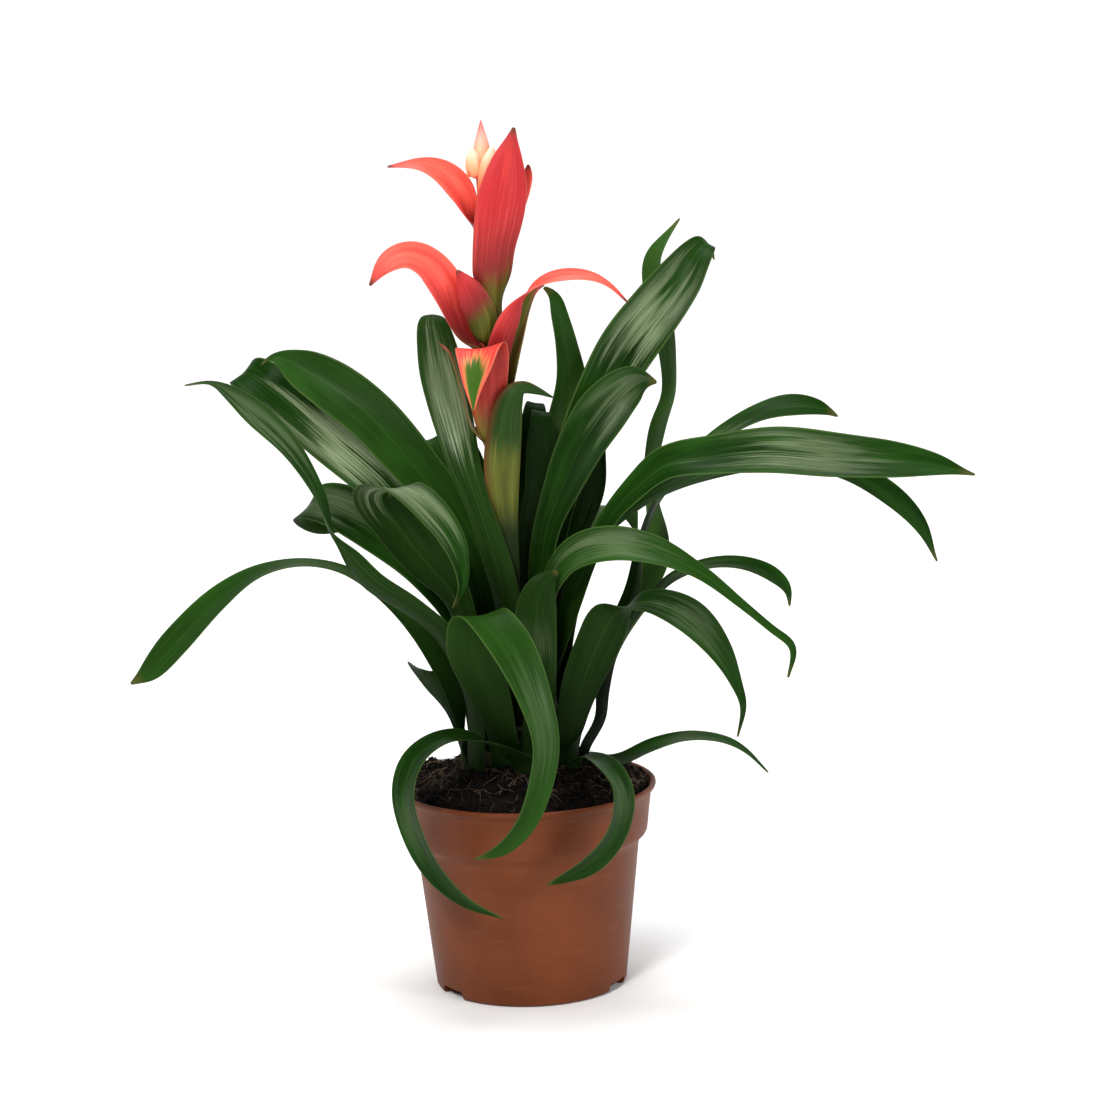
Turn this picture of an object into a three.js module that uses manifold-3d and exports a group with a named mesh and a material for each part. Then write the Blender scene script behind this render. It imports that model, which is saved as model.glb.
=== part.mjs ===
// A guzmania bromeliad in a plain terracotta-coloured nursery pot, in millimetres, +Z up.
// The origin is the middle of the pot's base. -Y is the front, +X is to the right.
import * as THREE from 'three';
import { mergeVertices } from 'three/addons/utils/BufferGeometryUtils.js';
import Module from 'manifold-3d';

const wasm = await Module();
wasm.setup();

// Driving dimensions of the pot
const RIM_RADIUS = 65;
const POT_HEIGHT = 102.4;
const BASE_RADIUS = 47.8;
const WALL = 1.4;
const COLLAR_BOTTOM = 78;
const STEP_BOTTOM = 73;
const POT_SIDES = 44;
const NOTCH = { count: 3, first: -146, wide: 17, high: 4.2, deep: 8 };

// Driving dimensions of the soil, the stem and the stalk
const GAP = 0.3;
const SOIL_CROWN = 108.4;
const SOIL_EDGE = 100.6;
const SOIL_CRUMB = 1.1;
const STEM_FOOT = 96;
const TIER_RADII = [31, 26, 21, 16, 11];
const TIER_HALF = 2.5;
const TIER_LOW = 108;
const TIER_RISE = 6;
const STALK_TOP = 404;
const STALK_LEAN = 0.037;
const STALK_FOOT_X = -2;
const STALK_RADII = { foot: 4.5, top: 3.4 };

// Driving dimensions of the blades
const LEAF = { thick: 1.2, edge: 0.7, channel: 0.1, base: 9, lead: 7 };
const BRACT = { thick: 1, edge: 0.7, channel: 0.12, base: 5.5, lead: 5 };
const STATION_LENGTH = 15;
const STATION_BEND = THREE.MathUtils.degToRad(22);
const SAMPLES_PER_SPAN = 12;

// Leaves of the rosette: name, tier of the stem, azimuth of the foot in degrees, and the route. A route
// point is x, y, z, the blade's width there, and its turn about its own run in degrees.
const LEAVES = [
  ['leaf_pot_left', 0, -85, [
    [-9, -40, 127, 14, -42], [-25, -50, 137, 17, -68], [-39, -57, 138, 18, -66], [-52, -64, 130, 19, -64],
    [-57, -70, 115, 20, -57], [-52, -72, 93, 20, -60], [-42, -73, 75, 17, -62], [-28, -73, 61, 10, -60],
    [-12, -73, 53, 1.5, -60]]],
  ['leaf_pot_right', 0, -42, [
    [32, -42, 124, 13, -20], [40, -58, 122, 19, -38], [46, -69, 112, 20, -56], [42, -75, 95, 20, -60],
    [30, -78, 81, 18, -55], [17, -79, 74, 8, -50], [9, -80, 71, 1.5, -50]]],
  ['leaf_low_right', 0, -13, [
    [47, -6, 113, 15, 22], [63, -8, 119.5, 17, 22], [82, -12, 125, 15, 16], [99, -16, 124, 10, 14],
    [109, -18, 119, 5, 18], [120, -20, 108, 1.2, 18]]],
  ['leaf_low_left', 0, 160, [
    [-37, 12, 137, 15, 0], [-46, 16, 149, 18, -5], [-53, 20, 157, 16, 0], [-52, 30, 154, 8, 0],
    [-46, 38, 143, 1.5, 0]]],
  ['leaf_long_left', 0, -168, [
    [-33.1, -7, 141, 14, -40], [-40.2, -11, 162.8, 15, -42], [-53, -16, 185.8, 16, -34],
    [-72.1, -21, 205.8, 17, -16], [-89, -26, 217.2, 17, -2], [-106.9, -31, 221.1, 18, 2],
    [-126.1, -36, 217.6, 19, -3], [-146.5, -41, 204.9, 21, -15], [-166.3, -45, 186.1, 21, -25],
    [-178.7, -47, 173.6, 14, -32], [-188.8, -48, 168.2, 1.5, -32]]],
  ['leaf_twisted_left', 0, -140, [
    [-25, -28, 151, 14, 4], [-37, -35, 183, 17, 12], [-53, -40, 200, 17, 16], [-71, -43, 213, 17, 18],
    [-81, -43, 225, 16, 12], [-90, -42, 238, 15, -22], [-95, -40, 255, 16, -42], [-108, -37, 277, 19, -54],
    [-124, -34, 294, 20, -60], [-137, -32, 306, 14, -54], [-145, -31, 311, 5, -50],
    [-158, -30, 310, 1.2, -50]]],
  ['leaf_broad_upper_left', 3, 165, [
    [-21, 5, 207, 15, -42], [-31, 9, 234, 22, -46], [-53, 16, 263, 26, -50], [-72, 24, 285, 27, -60],
    [-91, 31, 300, 26, -70], [-107, 37, 309, 20, -66], [-117, 41, 314, 9, -52], [-123, 43, 314, 3, -45],
    [-127, 45, 310, 1.2, -45]]],
  ['leaf_broad_left', 2, 160, [
    [-26, 16, 192, 15, -38], [-47, 28, 220, 21, -50], [-69, 40, 248, 26, -50], [-92, 50, 268, 28, -50],
    [-114, 58, 287, 28, -53], [-132, 64, 301, 24, -55], [-139, 74, 303, 18, -55], [-138, 84, 293, 10, -55],
    [-134, 88, 283, 1.5, -55]]],
  ['leaf_folded_left', 1, 175, [
    [-30, 14, 175, 12, -55], [-48, 27, 205, 19, -76], [-73, 42, 225, 25, -78], [-93, 53, 235.5, 26, -74],
    [-107, 61, 235.5, 23, -60], [-109, 69, 228, 14, -35], [-103, 75, 221, 8, -25],
    [-90, 79, 219, 1.5, -25]]],
  ['leaf_folded_front_left', 2, -155, [
    [-31, -18, 199, 16, 40], [-46, -22, 220, 22, 62], [-59, -28, 240, 26, 58], [-66, -35, 254, 28, 58],
    [-56, -48, 259, 27, 74], [-41, -56, 248, 23, 86], [-30, -60, 232, 17, 85], [-27, -61, 214, 8, 78],
    [-32, -60, 203, 1.2, 78]]],
  ['leaf_upright_striped', 4, -150, [
    [-7.9, -14, 197.6, 11, 28], [-13, -15.3, 223.9, 12, 48], [-19.2, -14.4, 245.3, 12.5, 60],
    [-25, -10, 264, 16, 68], [-29, -3, 280.9, 19.5, 71], [-32.5, 1, 296.3, 21.5, 71],
    [-35.4, 3, 311, 22, 68], [-37.9, 4, 325.7, 18.5, 66], [-39.2, 6.5, 333.8, 15, 66],
    [-39.2, 12, 336.7, 10, 70], [-37.2, 20, 331.9, 5, 74], [-36.1, 25, 323.9, 1.2, 74]]],
  ['leaf_tip_left', 2, 113, [
    [-14, 27, 210, 13, -10], [-21, 34, 250, 15, -20], [-29, 38, 272, 12, -30], [-37, 40, 282, 5, -30],
    [-43, 42, 286, 1.2, -30]]],
  ['leaf_top_left', 1, 130, [
    [-24, 36, 204, 14, -15], [-33, 46, 243, 18, -25], [-39, 52, 262, 16, -28], [-43, 58, 269, 11, -30],
    [-43, 66, 262, 6, -30], [-41, 72, 254, 1.2, -30]]],
  ['leaf_upright_right', 3, 75, [
    [12, 25, 231, 12, 12], [23, 36, 274, 17, 22], [28, 42, 296, 17, 34], [26, 44, 316, 13, 42],
    [23, 45, 331, 10, 44], [21, 46, 341, 6, 30], [16, 47, 345, 1.5, 20]]],
  ['leaf_dark_centre', 4, 100, [
    [5, 11, 223, 11, 0], [11, 11, 248, 16, 0], [12, 12, 268, 15, 0], [13, 14, 280, 12, 0],
    [13, 18, 286, 10, 0], [13, 26, 282, 6, 0], [12, 31, 272, 1.2, 0]]],
  ['leaf_behind_centre', 2, 84, [
    [3, 31, 219, 12, 5], [7, 39, 253, 16, 8], [9, 43, 276, 14, 10], [10, 48, 286, 10, 10],
    [10, 56, 284, 6, 10], [9, 61, 276, 1.2, 10]]],
  ['leaf_behind_right', 2, 30, [
    [25, 24, 210, 13, 25], [36, 36, 243, 18, 40], [37, 44, 267, 18, 42], [43, 52, 287, 15, 40],
    [50, 60, 303, 9, 40], [56, 66, 315, 1.2, 40]]],
  ['leaf_tall_right', 3, 38, [
    [18, 14, 221.9, 14, 22], [28.1, 22, 261.2, 20, 45], [41, 33, 288.1, 25, 53], [55.9, 43, 312.1, 29, 55],
    [71.7, 52, 330.9, 28, 54], [85.4, 58, 346.6, 24.5, 42], [94, 62, 358.6, 17.5, 38],
    [99, 70, 362.9, 11, 50], [101.9, 78, 359.1, 4, 55], [103.5, 82, 353.1, 1.2, 55]]],
  ['leaf_broad_right', 4, 20, [
    [13, 4, 222, 12, 40], [24, 7, 253, 20, 58], [33, 10, 271, 24, 62], [43, 12, 285.5, 26, 64],
    [53, 14, 296, 22, 68], [60, 19, 300, 16, 78], [66, 24, 299.5, 8, 80], [71, 25, 298, 1.2, 80]]],
  ['leaf_wavy_right', 0, 20, [
    [39, 15, 130, 14, 0], [41, 17, 144, 16, 0], [45, 20, 159, 17, 2], [54, 24, 176, 18, 8],
    [63, 28, 193, 18, 15], [70, 32, 207, 18, 17], [72, 36, 219, 17, 8], [69, 42, 236, 16, 2],
    [68, 50, 250, 16, 3], [73, 58, 270, 16, 6], [80, 64, 287, 17, 5], [79, 68, 309, 18, 12],
    [75, 72, 334, 18, 14], [73, 70, 354, 15, 12], [78, 68, 365, 9, 5], [86, 68, 376, 1.2, 0]]],
  ['leaf_horizontal_right', 2, -32, [
    [15, -19, 157, 12, 45], [19.5, -21, 178, 14, 62], [27.5, -21, 201, 15, 68], [37, -20, 222, 16, 64],
    [47, -19, 240, 17, 59], [60, -19, 253, 20, 59], [73, -20, 262.5, 23, 64], [94, -23, 266.5, 25, 70],
    [123, -27, 269, 26, 76], [152, -30, 266, 26, 77], [180, -33, 264, 22, 74], [202, -35, 261, 13, 70],
    [221, -37, 256.5, 1.2, 70]]],
  ['leaf_hooked_right', 1, 5, [
    [34, 6, 147, 13, 10], [46, 9, 174, 15, 20], [57, 10, 196, 15, 22], [62, 10, 220, 14, 12],
    [69, 11, 239, 13, 8], [83, 13, 256, 14, 10], [102, 17, 271, 17, 18], [122, 21, 281, 18, 26],
    [139, 24, 284, 17, 38], [153, 26, 282, 10, 44], [161, 27, 278, 1.2, 44]]],
  ['leaf_hanging_right', 3, -18, [
    [17, -4, 195, 13, 15], [28, -5, 215, 15, 25], [43, -6, 229, 15, 30], [63, -7, 243.5, 15, 31],
    [90, -7, 254.5, 17, 34], [124, -6, 261, 17, 42], [159, -5, 256, 17, 50], [183, -3, 242, 16, 57],
    [198, -2, 226, 11, 60], [206.5, -1, 208, 1.2, 60]]],
  ['leaf_arch_front_right', 3, -58, [
    [11.1, -20, 178.2, 12, 50], [14.8, -26, 204.2, 15, 85], [25.9, -34, 222.1, 18, 88],
    [43.8, -42, 228.4, 19, 84], [66.1, -49, 225.5, 16, 73], [86.7, -54, 215.6, 9.5, 60],
    [104.8, -58, 201.2, 6.5, 55], [120.2, -61, 188.2, 5.5, 55], [129.9, -63, 180, 4.5, 70],
    [127.2, -64, 165.2, 1.2, 75]]],
  ['leaf_small_right', 1, -26, [
    [34, -11, 149, 12, 10], [50, -9, 174, 13, 26], [64, -8, 193.5, 13, 34], [75, -7, 204, 13, 38],
    [92, -6, 210, 14, 40], [109, -5, 210, 15, 48], [124, -4, 204.5, 13, 62], [132, -3, 197, 7, 72],
    [133, -3, 188, 1.2, 75]]],
  ['leaf_bent_right', 1, -53, [
    [22, -32, 133, 13, -14], [28, -34, 156, 19, -32], [37, -37, 178, 22, -42], [45, -40, 193, 22, -20],
    [54, -44, 199, 18, 40], [65, -50, 201, 18, 56], [81, -60, 195, 19, 62], [94, -67, 180, 15, 50],
    [102, -71, 164, 8, 42], [105, -72, 154, 5, 38], [102, -73, 139, 1.2, 38]]],
  ['leaf_front_centre', 1, -80, [
    [8.8, -33, 151.1, 15, 4], [7.6, -37, 175.9, 20, -4], [7.7, -39, 194.5, 20.5, -6],
    [10.4, -39.5, 206.9, 16, -6], [15.5, -38, 213.3, 7.5, -8], [18.9, -36, 215.3, 1.2, -8]]],
  ['leaf_front_arch', 1, -112, [
    [-11, -36, 135, 15, 6], [-17, -44, 159, 21, 26], [-23, -53, 181, 25, 36], [-19, -64, 200, 26, 48],
    [-6, -77, 188, 24, 60], [5, -84, 163, 21, 52], [10, -88, 142, 17, 50], [7, -90, 123, 14, 56],
    [-1, -89, 103, 12, 60], [-12, -87, 91, 8, 70], [-25, -85, 86, 1.2, 70]]],
  ['leaf_back_low', 0, 72, [
    [12, 46, 136, 14, 0], [15, 72, 148, 16, 0], [17, 98, 134, 15, 0], [18, 114, 104, 9, 0],
    [19, 118, 80, 1.2, 0]]],
  ['leaf_back_droop', 0, 105, [
    [-11, 46, 146, 15, 0], [-16, 74, 164, 18, 0], [-20, 104, 152, 16, 0], [-22, 124, 120, 10, 0],
    [-23, 130, 92, 1.2, 0]]],
  ['leaf_back_left', 0, 134, [
    [-28, 32, 165, 14, 0], [-38, 52, 205, 19, 0], [-52, 74, 230, 20, 0], [-63, 94, 230, 13, 0],
    [-70, 108, 220, 1.2, 0]]],
  ['leaf_back_middle', 1, 85, [
    [4, 44, 170, 15, 0], [8, 66, 208, 18, 0], [12, 92, 220, 17, 0], [15, 118, 204, 11, 0],
    [17, 132, 180, 1.2, 0]]],
  ['leaf_back_tall', 1, 48, [
    [22, 34, 170, 14, 0], [34, 56, 208, 18, 0], [46, 80, 226, 18, 0], [56, 102, 222, 12, 0],
    [62, 116, 206, 1.2, 0]]],
  ['leaf_back_broad', 1, 107, [
    [-10, 42, 175, 13, 0], [-14, 60, 211, 17, 0], [-19, 84, 228, 18, 0], [-23, 106, 216, 11, 0],
    [-26, 120, 192, 1.2, 0]]],
  ['leaf_back_side', 0, 45, [
    [28, 38, 138, 14, 0], [33, 60, 158, 16, 0], [38, 84, 163, 16, 0], [43, 104, 150, 10, 0],
    [45, 114, 130, 1.2, 0]]],
];

// Bracts of the flower stalk: name, height of the foot, azimuth of the foot, and the route as above.
const BRACTS = [
  ['bract_leaf_front', 172, -95, [
    [-5.2, -9.3, 202, 10.5, 2], [-6.2, -10.6, 237, 13, 4], [-7, -12, 262, 18, 6], [-5, -14, 282, 17, 4],
    [-2, -16, 296, 13, 0], [3, -15, 303, 8, 0], [10, -11, 301, 5, 10], [19, -6, 296, 1, 10]]],
  ['bract_front_folded', 258, -98, [
    [-13.8, -10, 285, 12, 4], [-13.4, -11, 296, 17, 6], [-13.4, -12, 308, 22, 6],
    [-14.2, -14, 318.5, 25, 4], [-15.6, -19.5, 323, 25, 2], [-17, -24, 317, 20, 0],
    [-18.9, -25, 305.6, 11, 0], [-19.6, -25, 292.5, 1.2, 0]]],
  ['bract_narrow_left', 266, -172, [
    [-21.2, -7.5, 282, 4, -12], [-25.5, -11, 300, 7.5, -18], [-29, -11.5, 314, 6.5, -20],
    [-31.5, -11.5, 321, 4, -20], [-36, -11.5, 325, 1, -20]]],
  ['bract_right_back', 285, 10, [
    [0, 1, 306, 9, 15], [3.5, 1, 323.5, 11, 18], [8, 2, 340.5, 9, 20], [13, 3, 349, 5, 20],
    [16.5, 4, 350, 1.2, 20]]],
  ['bract_right_arch', 296, -35, [
    [-7.2, -6.6, 310.3, 12, -40], [-6, -9.4, 320.7, 12.5, -44], [-3.2, -12.2, 329.6, 12, -42],
    [0.6, -13, 337.4, 11.5, -30], [5.3, -12.6, 344.6, 10, 6], [14.3, -12.2, 352.6, 8, 48],
    [25.5, -12, 355.7, 8, 70], [38.5, -12.5, 354.9, 7, 66], [47.6, -12.5, 350.7, 4, 62],
    [56.6, -12.5, 341.8, 1.2, 62]]],
  ['bract_middle_front', 319, -100, [
    [-13.8, -8.4, 324.4, 14.5, 12], [-14.3, -11.4, 335, 16, 12], [-17.6, -12.8, 344.9, 15, 20],
    [-21.5, -13, 353.3, 10.5, 25], [-25.6, -12.5, 360.1, 1.5, 30]]],
  ['bract_middle_left', 311, 198, [
    [-23.1, -2.2, 325, 11, -50], [-27.7, -5.6, 337.7, 16, -64], [-31.8, -9, 351.8, 18.5, -78],
    [-40.5, -10, 364.2, 16.5, -79], [-50, -11, 368, 14, -81], [-59.8, -12, 364, 10.5, -82],
    [-68.1, -13, 353.7, 1.2, -82]]],
  ['bract_front_upright', 332, -88, [
    [-9.3, -6.5, 343.1, 15, 4], [-8.7, -8.2, 353, 19, 6], [-7.2, -11, 369.1, 21, 8],
    [-4, -12.6, 385, 24.5, 8], [-1.2, -12.8, 398.4, 24, 10], [1.1, -11.8, 412.6, 15.5, 10],
    [4, -10.5, 427.8, 1.5, 10]]],
  ['bract_right_crumpled', 348, 0, [
    [-1.3, 1.5, 367.9, 10, 20], [2.4, 2, 379.9, 14, 30], [6.8, 3, 391.2, 14.5, 38],
    [8.8, 3.6, 398.6, 12, 42], [9.8, 4, 404.6, 8, 46], [10.4, 4.4, 409, 1.2, 46]]],
  ['bract_upper_left', 372, 190, [
    [-19.8, -4.4, 386.8, 11, -52], [-23.3, -4.6, 397.6, 15.5, -66], [-31, -5.2, 406.2, 14, -64],
    [-40.9, -6, 410.7, 8.5, -56], [-49.6, -6, 410.9, 4.5, -48], [-57.8, -6, 410.2, 1.2, -46]]],
  ['bract_back_low', 292, 100, [
    [-11, 9, 312, 13, 0], [-12, 14, 330, 14, 0], [-13, 24, 343, 11, 0], [-14, 34, 344, 1.2, 0]]],
  ['bract_back_high', 340, 85, [
    [-9, 8, 360, 14, 0], [-8, 12, 380, 17, 0], [-7, 18, 395, 12, 0], [-6, 25, 401, 1.2, 0]]],
  ['head_bract_left', 403, 236, [
    [-14.4, -7.4, 403.7, 6, 22], [-15.4, -7.3, 410, 8.5, 26], [-17.4, -5.8, 419, 1.2, 32]]],
  ['head_bract_right', 390, -33, [
    [-7, -4, 402.5, 9, -28], [-6, -3, 409, 7, -28], [-6.2, -2, 413.5, 1.2, -28]]],
  ['head_bract_front', 384, -88, [
    [-10.3, -8.8, 395.5, 9, 0], [-9.2, -9.6, 405, 10.5, 0], [-7.6, -8.8, 413, 7.5, 0],
    [-6.8, -7.8, 419, 1.2, 0]]],
  ['head_bract_back', 389, 75, [
    [-10, 6.8, 401, 8, 0], [-10, 7.6, 410, 7, 0], [-10.4, 6.8, 418, 1.2, 0]]],
];

const COLOURS = {
  pot: 0xb5643c,
  soil: 0x2a1f18,
  stem: 0x4a4a2c,
  stalk: 0x6d7a34,
  leaf: 0x2c6128,
  bract: 0xd8403f,
  head: 0xf2b27a,
  bud: 0xf0788a,
};

const group = new THREE.Group();

function add(name, geometry, colour, roughness = 0.5) {
  const material = new THREE.MeshStandardMaterial({ color: colour, roughness, metalness: 0 });
  const mesh = new THREE.Mesh(geometry, material);
  mesh.name = name;
  group.add(mesh);
  return mesh;
}

// Shared vertices merged, so that a turned or boxed shape is one closed skin
function welded(geometry) {
  geometry.deleteAttribute('normal');
  geometry.deleteAttribute('uv');
  return mergeVertices(geometry, 1e-4);
}

function toSolid(geometry) {
  const skin = welded(geometry);
  return new wasm.Manifold(new wasm.Mesh({
    numProp: 3,
    vertProperties: new Float32Array(skin.attributes.position.array),
    triVerts: new Uint32Array(skin.index.array),
  }));
}

function fromSolid(solid) {
  const mesh = solid.getMesh();
  const geometry = new THREE.BufferGeometry();
  geometry.setAttribute('position', new THREE.BufferAttribute(new Float32Array(mesh.vertProperties), 3));
  geometry.setIndex(new THREE.BufferAttribute(new Uint32Array(mesh.triVerts), 1));
  return geometry;
}

// A profile of [radius, height] pairs turned about the Z axis
function turned(profile, sides) {
  const points = profile.map(([radius, height]) => new THREE.Vector2(radius, height));
  return new THREE.LatheGeometry(points, sides).rotateX(Math.PI / 2);
}

// The pot's outer wall rises in a taper, steps out to the collar and ends in a thin flared lip.
// The inner wall follows it inwards by the wall's thickness.
const potOutside = [
  [BASE_RADIUS - 1, 0],
  [BASE_RADIUS, 1.2],
  [56, STEP_BOTTOM],
  [60.3, COLLAR_BOTTOM],
  [62.6, POT_HEIGHT - 4.4],
  [RIM_RADIUS - 0.4, POT_HEIGHT - 2.6],
  [RIM_RADIUS, POT_HEIGHT - 1.2],
  [RIM_RADIUS - 0.5, POT_HEIGHT],
];
const potInside = [
  [62.4, POT_HEIGHT],
  [61.2, POT_HEIGHT - 4],
  [60.3 - WALL, COLLAR_BOTTOM + 1],
  [56 - WALL, STEP_BOTTOM + 0.6],
  [BASE_RADIUS - WALL, WALL + 0.2],
];

function potGeometry() {
  let solid = toSolid(turned([[0, 0], ...potOutside, ...potInside, [0, WALL + 0.2]], POT_SIDES));
  for (let i = 0; i < NOTCH.count; i += 1) {
    const cutter = new THREE.BoxGeometry(NOTCH.deep, NOTCH.wide, NOTCH.high * 2);
    cutter.translate(BASE_RADIUS, 0, 0);
    cutter.rotateZ(THREE.MathUtils.degToRad(NOTCH.first + i * 360 / NOTCH.count));
    solid = solid.subtract(toSolid(cutter));
  }
  return fromSolid(solid);
}

// Height of the mounded peat at a radius, before its crumbs
function soilHeight(radius) {
  const foot = TIER_RADII[0] + TIER_HALF;
  const run = THREE.MathUtils.clamp((radius - foot) / (potInside[1][0] - foot), 0, 1);
  return THREE.MathUtils.lerp(SOIL_CROWN, SOIL_EDGE, run * run);
}

function crumb(x, y) {
  const lumps = Math.sin(0.43 * x + 1.1) * Math.cos(0.37 * y - 0.4);
  const grain = Math.sin(0.9 * x - 0.7 * y);
  return SOIL_CRUMB * (0.6 * lumps + 0.5 * grain);
}

function soilGeometry() {
  const hole = TIER_RADII[0] + TIER_HALF + GAP;
  const [lip, shoulder, step, floor] = potInside.slice(1).map(([radius, height]) => [radius - GAP, height]);
  const rings = [0, 0.2, 0.4, 0.6, 0.8, 1].map((part) => {
    const radius = THREE.MathUtils.lerp(lip[0], hole, part);
    return [radius, soilHeight(radius)];
  });
  const bottom = WALL + 0.2 + GAP;
  const profile = [
    [0, bottom], [floor[0] - 0.1, bottom], step, shoulder, ...rings, [hole, STEM_FOOT], [0, STEM_FOOT],
  ];
  const geometry = welded(turned(profile, POT_SIDES));
  const position = geometry.attributes.position;
  for (let i = 0; i < position.count; i += 1) {
    const [x, y, z] = [position.getX(i), position.getY(i), position.getZ(i)];
    if (z > STEM_FOOT + 1) {
      position.setZ(i, z + crumb(x, y));
    }
  }
  return geometry;
}

// The stem is a low stepped cone. Each tier of leaves stands on its own step.
function stemGeometry() {
  const profile = [[0, STEM_FOOT + GAP], [TIER_RADII[0] + TIER_HALF, STEM_FOOT + GAP]];
  TIER_RADII.forEach((radius, tier) => {
    const top = TIER_LOW + tier * TIER_RISE;
    profile.push([radius + TIER_HALF, top]);
    if (tier < TIER_RADII.length - 1) {
      profile.push([radius - TIER_HALF, top]);
    }
  });
  profile.push([0, TIER_LOW + (TIER_RADII.length - 1) * TIER_RISE]);
  return welded(turned(profile, 32));
}

const stalkFoot = TIER_LOW + (TIER_RADII.length - 1) * TIER_RISE + GAP + 0.2;

function stalkX(height) {
  return STALK_FOOT_X - STALK_LEAN * (height - stalkFoot);
}

function stalkRadius(height) {
  const part = (height - stalkFoot) / (STALK_TOP - stalkFoot);
  return THREE.MathUtils.lerp(STALK_RADII.foot, STALK_RADII.top, part);
}

function stalkGeometry() {
  const length = STALK_TOP - stalkFoot;
  const geometry = new THREE.CylinderGeometry(STALK_RADII.top, STALK_RADII.foot, length, 12);
  geometry.rotateX(Math.PI / 2).translate(0, 0, length / 2);
  geometry.rotateY(-Math.atan(STALK_LEAN)).translate(STALK_FOOT_X, 0, stalkFoot);
  return welded(geometry);
}

function budGeometry() {
  const profile = [[0, 0], [2.6, 0], [4, 7], [4.1, 14], [2.8, 20.5], [1.1, 25.5], [0, 27]];
  return welded(turned(profile, 12).translate(stalkX(STALK_TOP), 0, STALK_TOP + GAP + 0.2));
}

// The blade's run from foot to tip: where it is, which way it goes, its across and its width
function bladeRun(foot, azimuth, route, shape) {
  const angle = THREE.MathUtils.degToRad(azimuth);
  const outward = new THREE.Vector3(Math.cos(angle), Math.sin(angle), 0);
  const lead = foot.clone().addScaledVector(outward, 1).add(new THREE.Vector3(0, 0, shape.lead));
  const points = [foot, lead, ...route.map(([x, y, z]) => new THREE.Vector3(x, y, z))];
  const firstWidth = Math.min(shape.base, route[0][3]);
  const rows = [[firstWidth, 0], [firstWidth, 0], ...route.map(([, , , width, turn]) => [width, turn])];
  const path = new THREE.CatmullRomCurve3(points);
  const sizes = new THREE.SplineCurve(rows.map(([width, turn]) => new THREE.Vector2(width, turn)));
  const across = new THREE.Vector3(-Math.sin(angle), Math.cos(angle), 0);
  const count = (points.length - 1) * SAMPLES_PER_SPAN;
  const run = [];
  for (let i = 0; i <= count; i += 1) {
    const part = i / count;
    const along = i === 0 ? new THREE.Vector3(0, 0, 1) : path.getTangent(part);
    across.addScaledVector(along, -across.dot(along)).normalize();
    const size = sizes.getPoint(part);
    run.push({
      at: path.getPoint(part),
      along,
      across: across.clone().applyAxisAngle(along, THREE.MathUtils.degToRad(size.y)),
      width: Math.max(size.x, 1),
    });
  }
  return run;
}

// Stations lie closer together where the blade bends
function stations(run) {
  const kept = [run[0]];
  let spent = 0;
  for (let i = 1; i < run.length - 1; i += 1) {
    const length = run[i].at.distanceTo(run[i - 1].at);
    const bend = run[i].along.angleTo(run[i - 1].along) + 0.5 * run[i].across.angleTo(run[i - 1].across);
    spent += length / STATION_LENGTH + bend / STATION_BEND;
    if (spent >= 1) {
      kept.push(run[i]);
      spent = 0;
    }
  }
  kept.push(run[run.length - 1]);
  return kept;
}

// A shallow channel: both margins stand towards the upper face. Both faces are split alike.
function bladeGeometry(foot, azimuth, route, shape) {
  const rows = stations(bladeRun(foot, azimuth, route, shape));
  const vertices = [];
  for (const { at, along, across, width } of rows) {
    const upper = new THREE.Vector3().crossVectors(along, across);
    for (const face of [1, -1]) {
      for (const side of [-1, 0, 1]) {
        const thickness = side === 0 ? shape.thick : shape.edge;
        const lift = Math.abs(side) * shape.channel * width + face * thickness / 2;
        const point = at.clone().addScaledVector(across, side * width / 2).addScaledVector(upper, lift);
        vertices.push(point.x, point.y, point.z);
      }
    }
  }
  const faces = [];
  const quad = (a, b, c, d) => faces.push(a, c, b, a, d, c);
  for (let i = 0; i < rows.length - 1; i += 1) {
    const here = i * 6;
    const next = here + 6;
    for (const column of [0, 1]) {
      quad(here + column, here + column + 1, next + column + 1, next + column);
      faces.push(here + column + 3, here + column + 4, next + column + 4);
      faces.push(here + column + 3, next + column + 4, next + column + 3);
    }
    quad(here, next, next + 3, here + 3);
    quad(here + 2, here + 5, next + 5, next + 2);
  }
  const last = (rows.length - 1) * 6;
  for (const column of [0, 1]) {
    quad(column, column + 3, column + 4, column + 1);
    quad(last + column, last + column + 1, last + column + 4, last + column + 3);
  }
  const geometry = new THREE.BufferGeometry();
  geometry.setAttribute('position', new THREE.Float32BufferAttribute(vertices, 3));
  geometry.setIndex(faces);
  return geometry;
}

function leafFoot(tier, azimuth) {
  const angle = THREE.MathUtils.degToRad(azimuth);
  const radius = TIER_RADII[tier];
  const height = TIER_LOW + tier * TIER_RISE + GAP;
  return new THREE.Vector3(radius * Math.cos(angle), radius * Math.sin(angle), height);
}

function bractFoot(height, azimuth) {
  const angle = THREE.MathUtils.degToRad(azimuth);
  const radius = stalkRadius(height) + BRACT.thick / 2 + GAP + 0.1;
  return new THREE.Vector3(stalkX(height) + radius * Math.cos(angle), radius * Math.sin(angle), height);
}

add('pot', potGeometry(), COLOURS.pot, 0.55);
add('soil', soilGeometry(), COLOURS.soil, 0.95);
add('stem', stemGeometry(), COLOURS.stem, 0.8);
add('stalk', stalkGeometry(), COLOURS.stalk, 0.5);
add('bud', budGeometry(), COLOURS.bud, 0.5);
for (const [name, tier, azimuth, route] of LEAVES) {
  add(name, bladeGeometry(leafFoot(tier, azimuth), azimuth, route, LEAF), COLOURS.leaf, 0.4);
}
for (const [name, height, azimuth, route] of BRACTS) {
  const colour = name.startsWith('head') ? COLOURS.head : COLOURS.bract;
  add(name, bladeGeometry(bractFoot(height, azimuth), azimuth, route, BRACT), colour, 0.45);
}

export default group;
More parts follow.
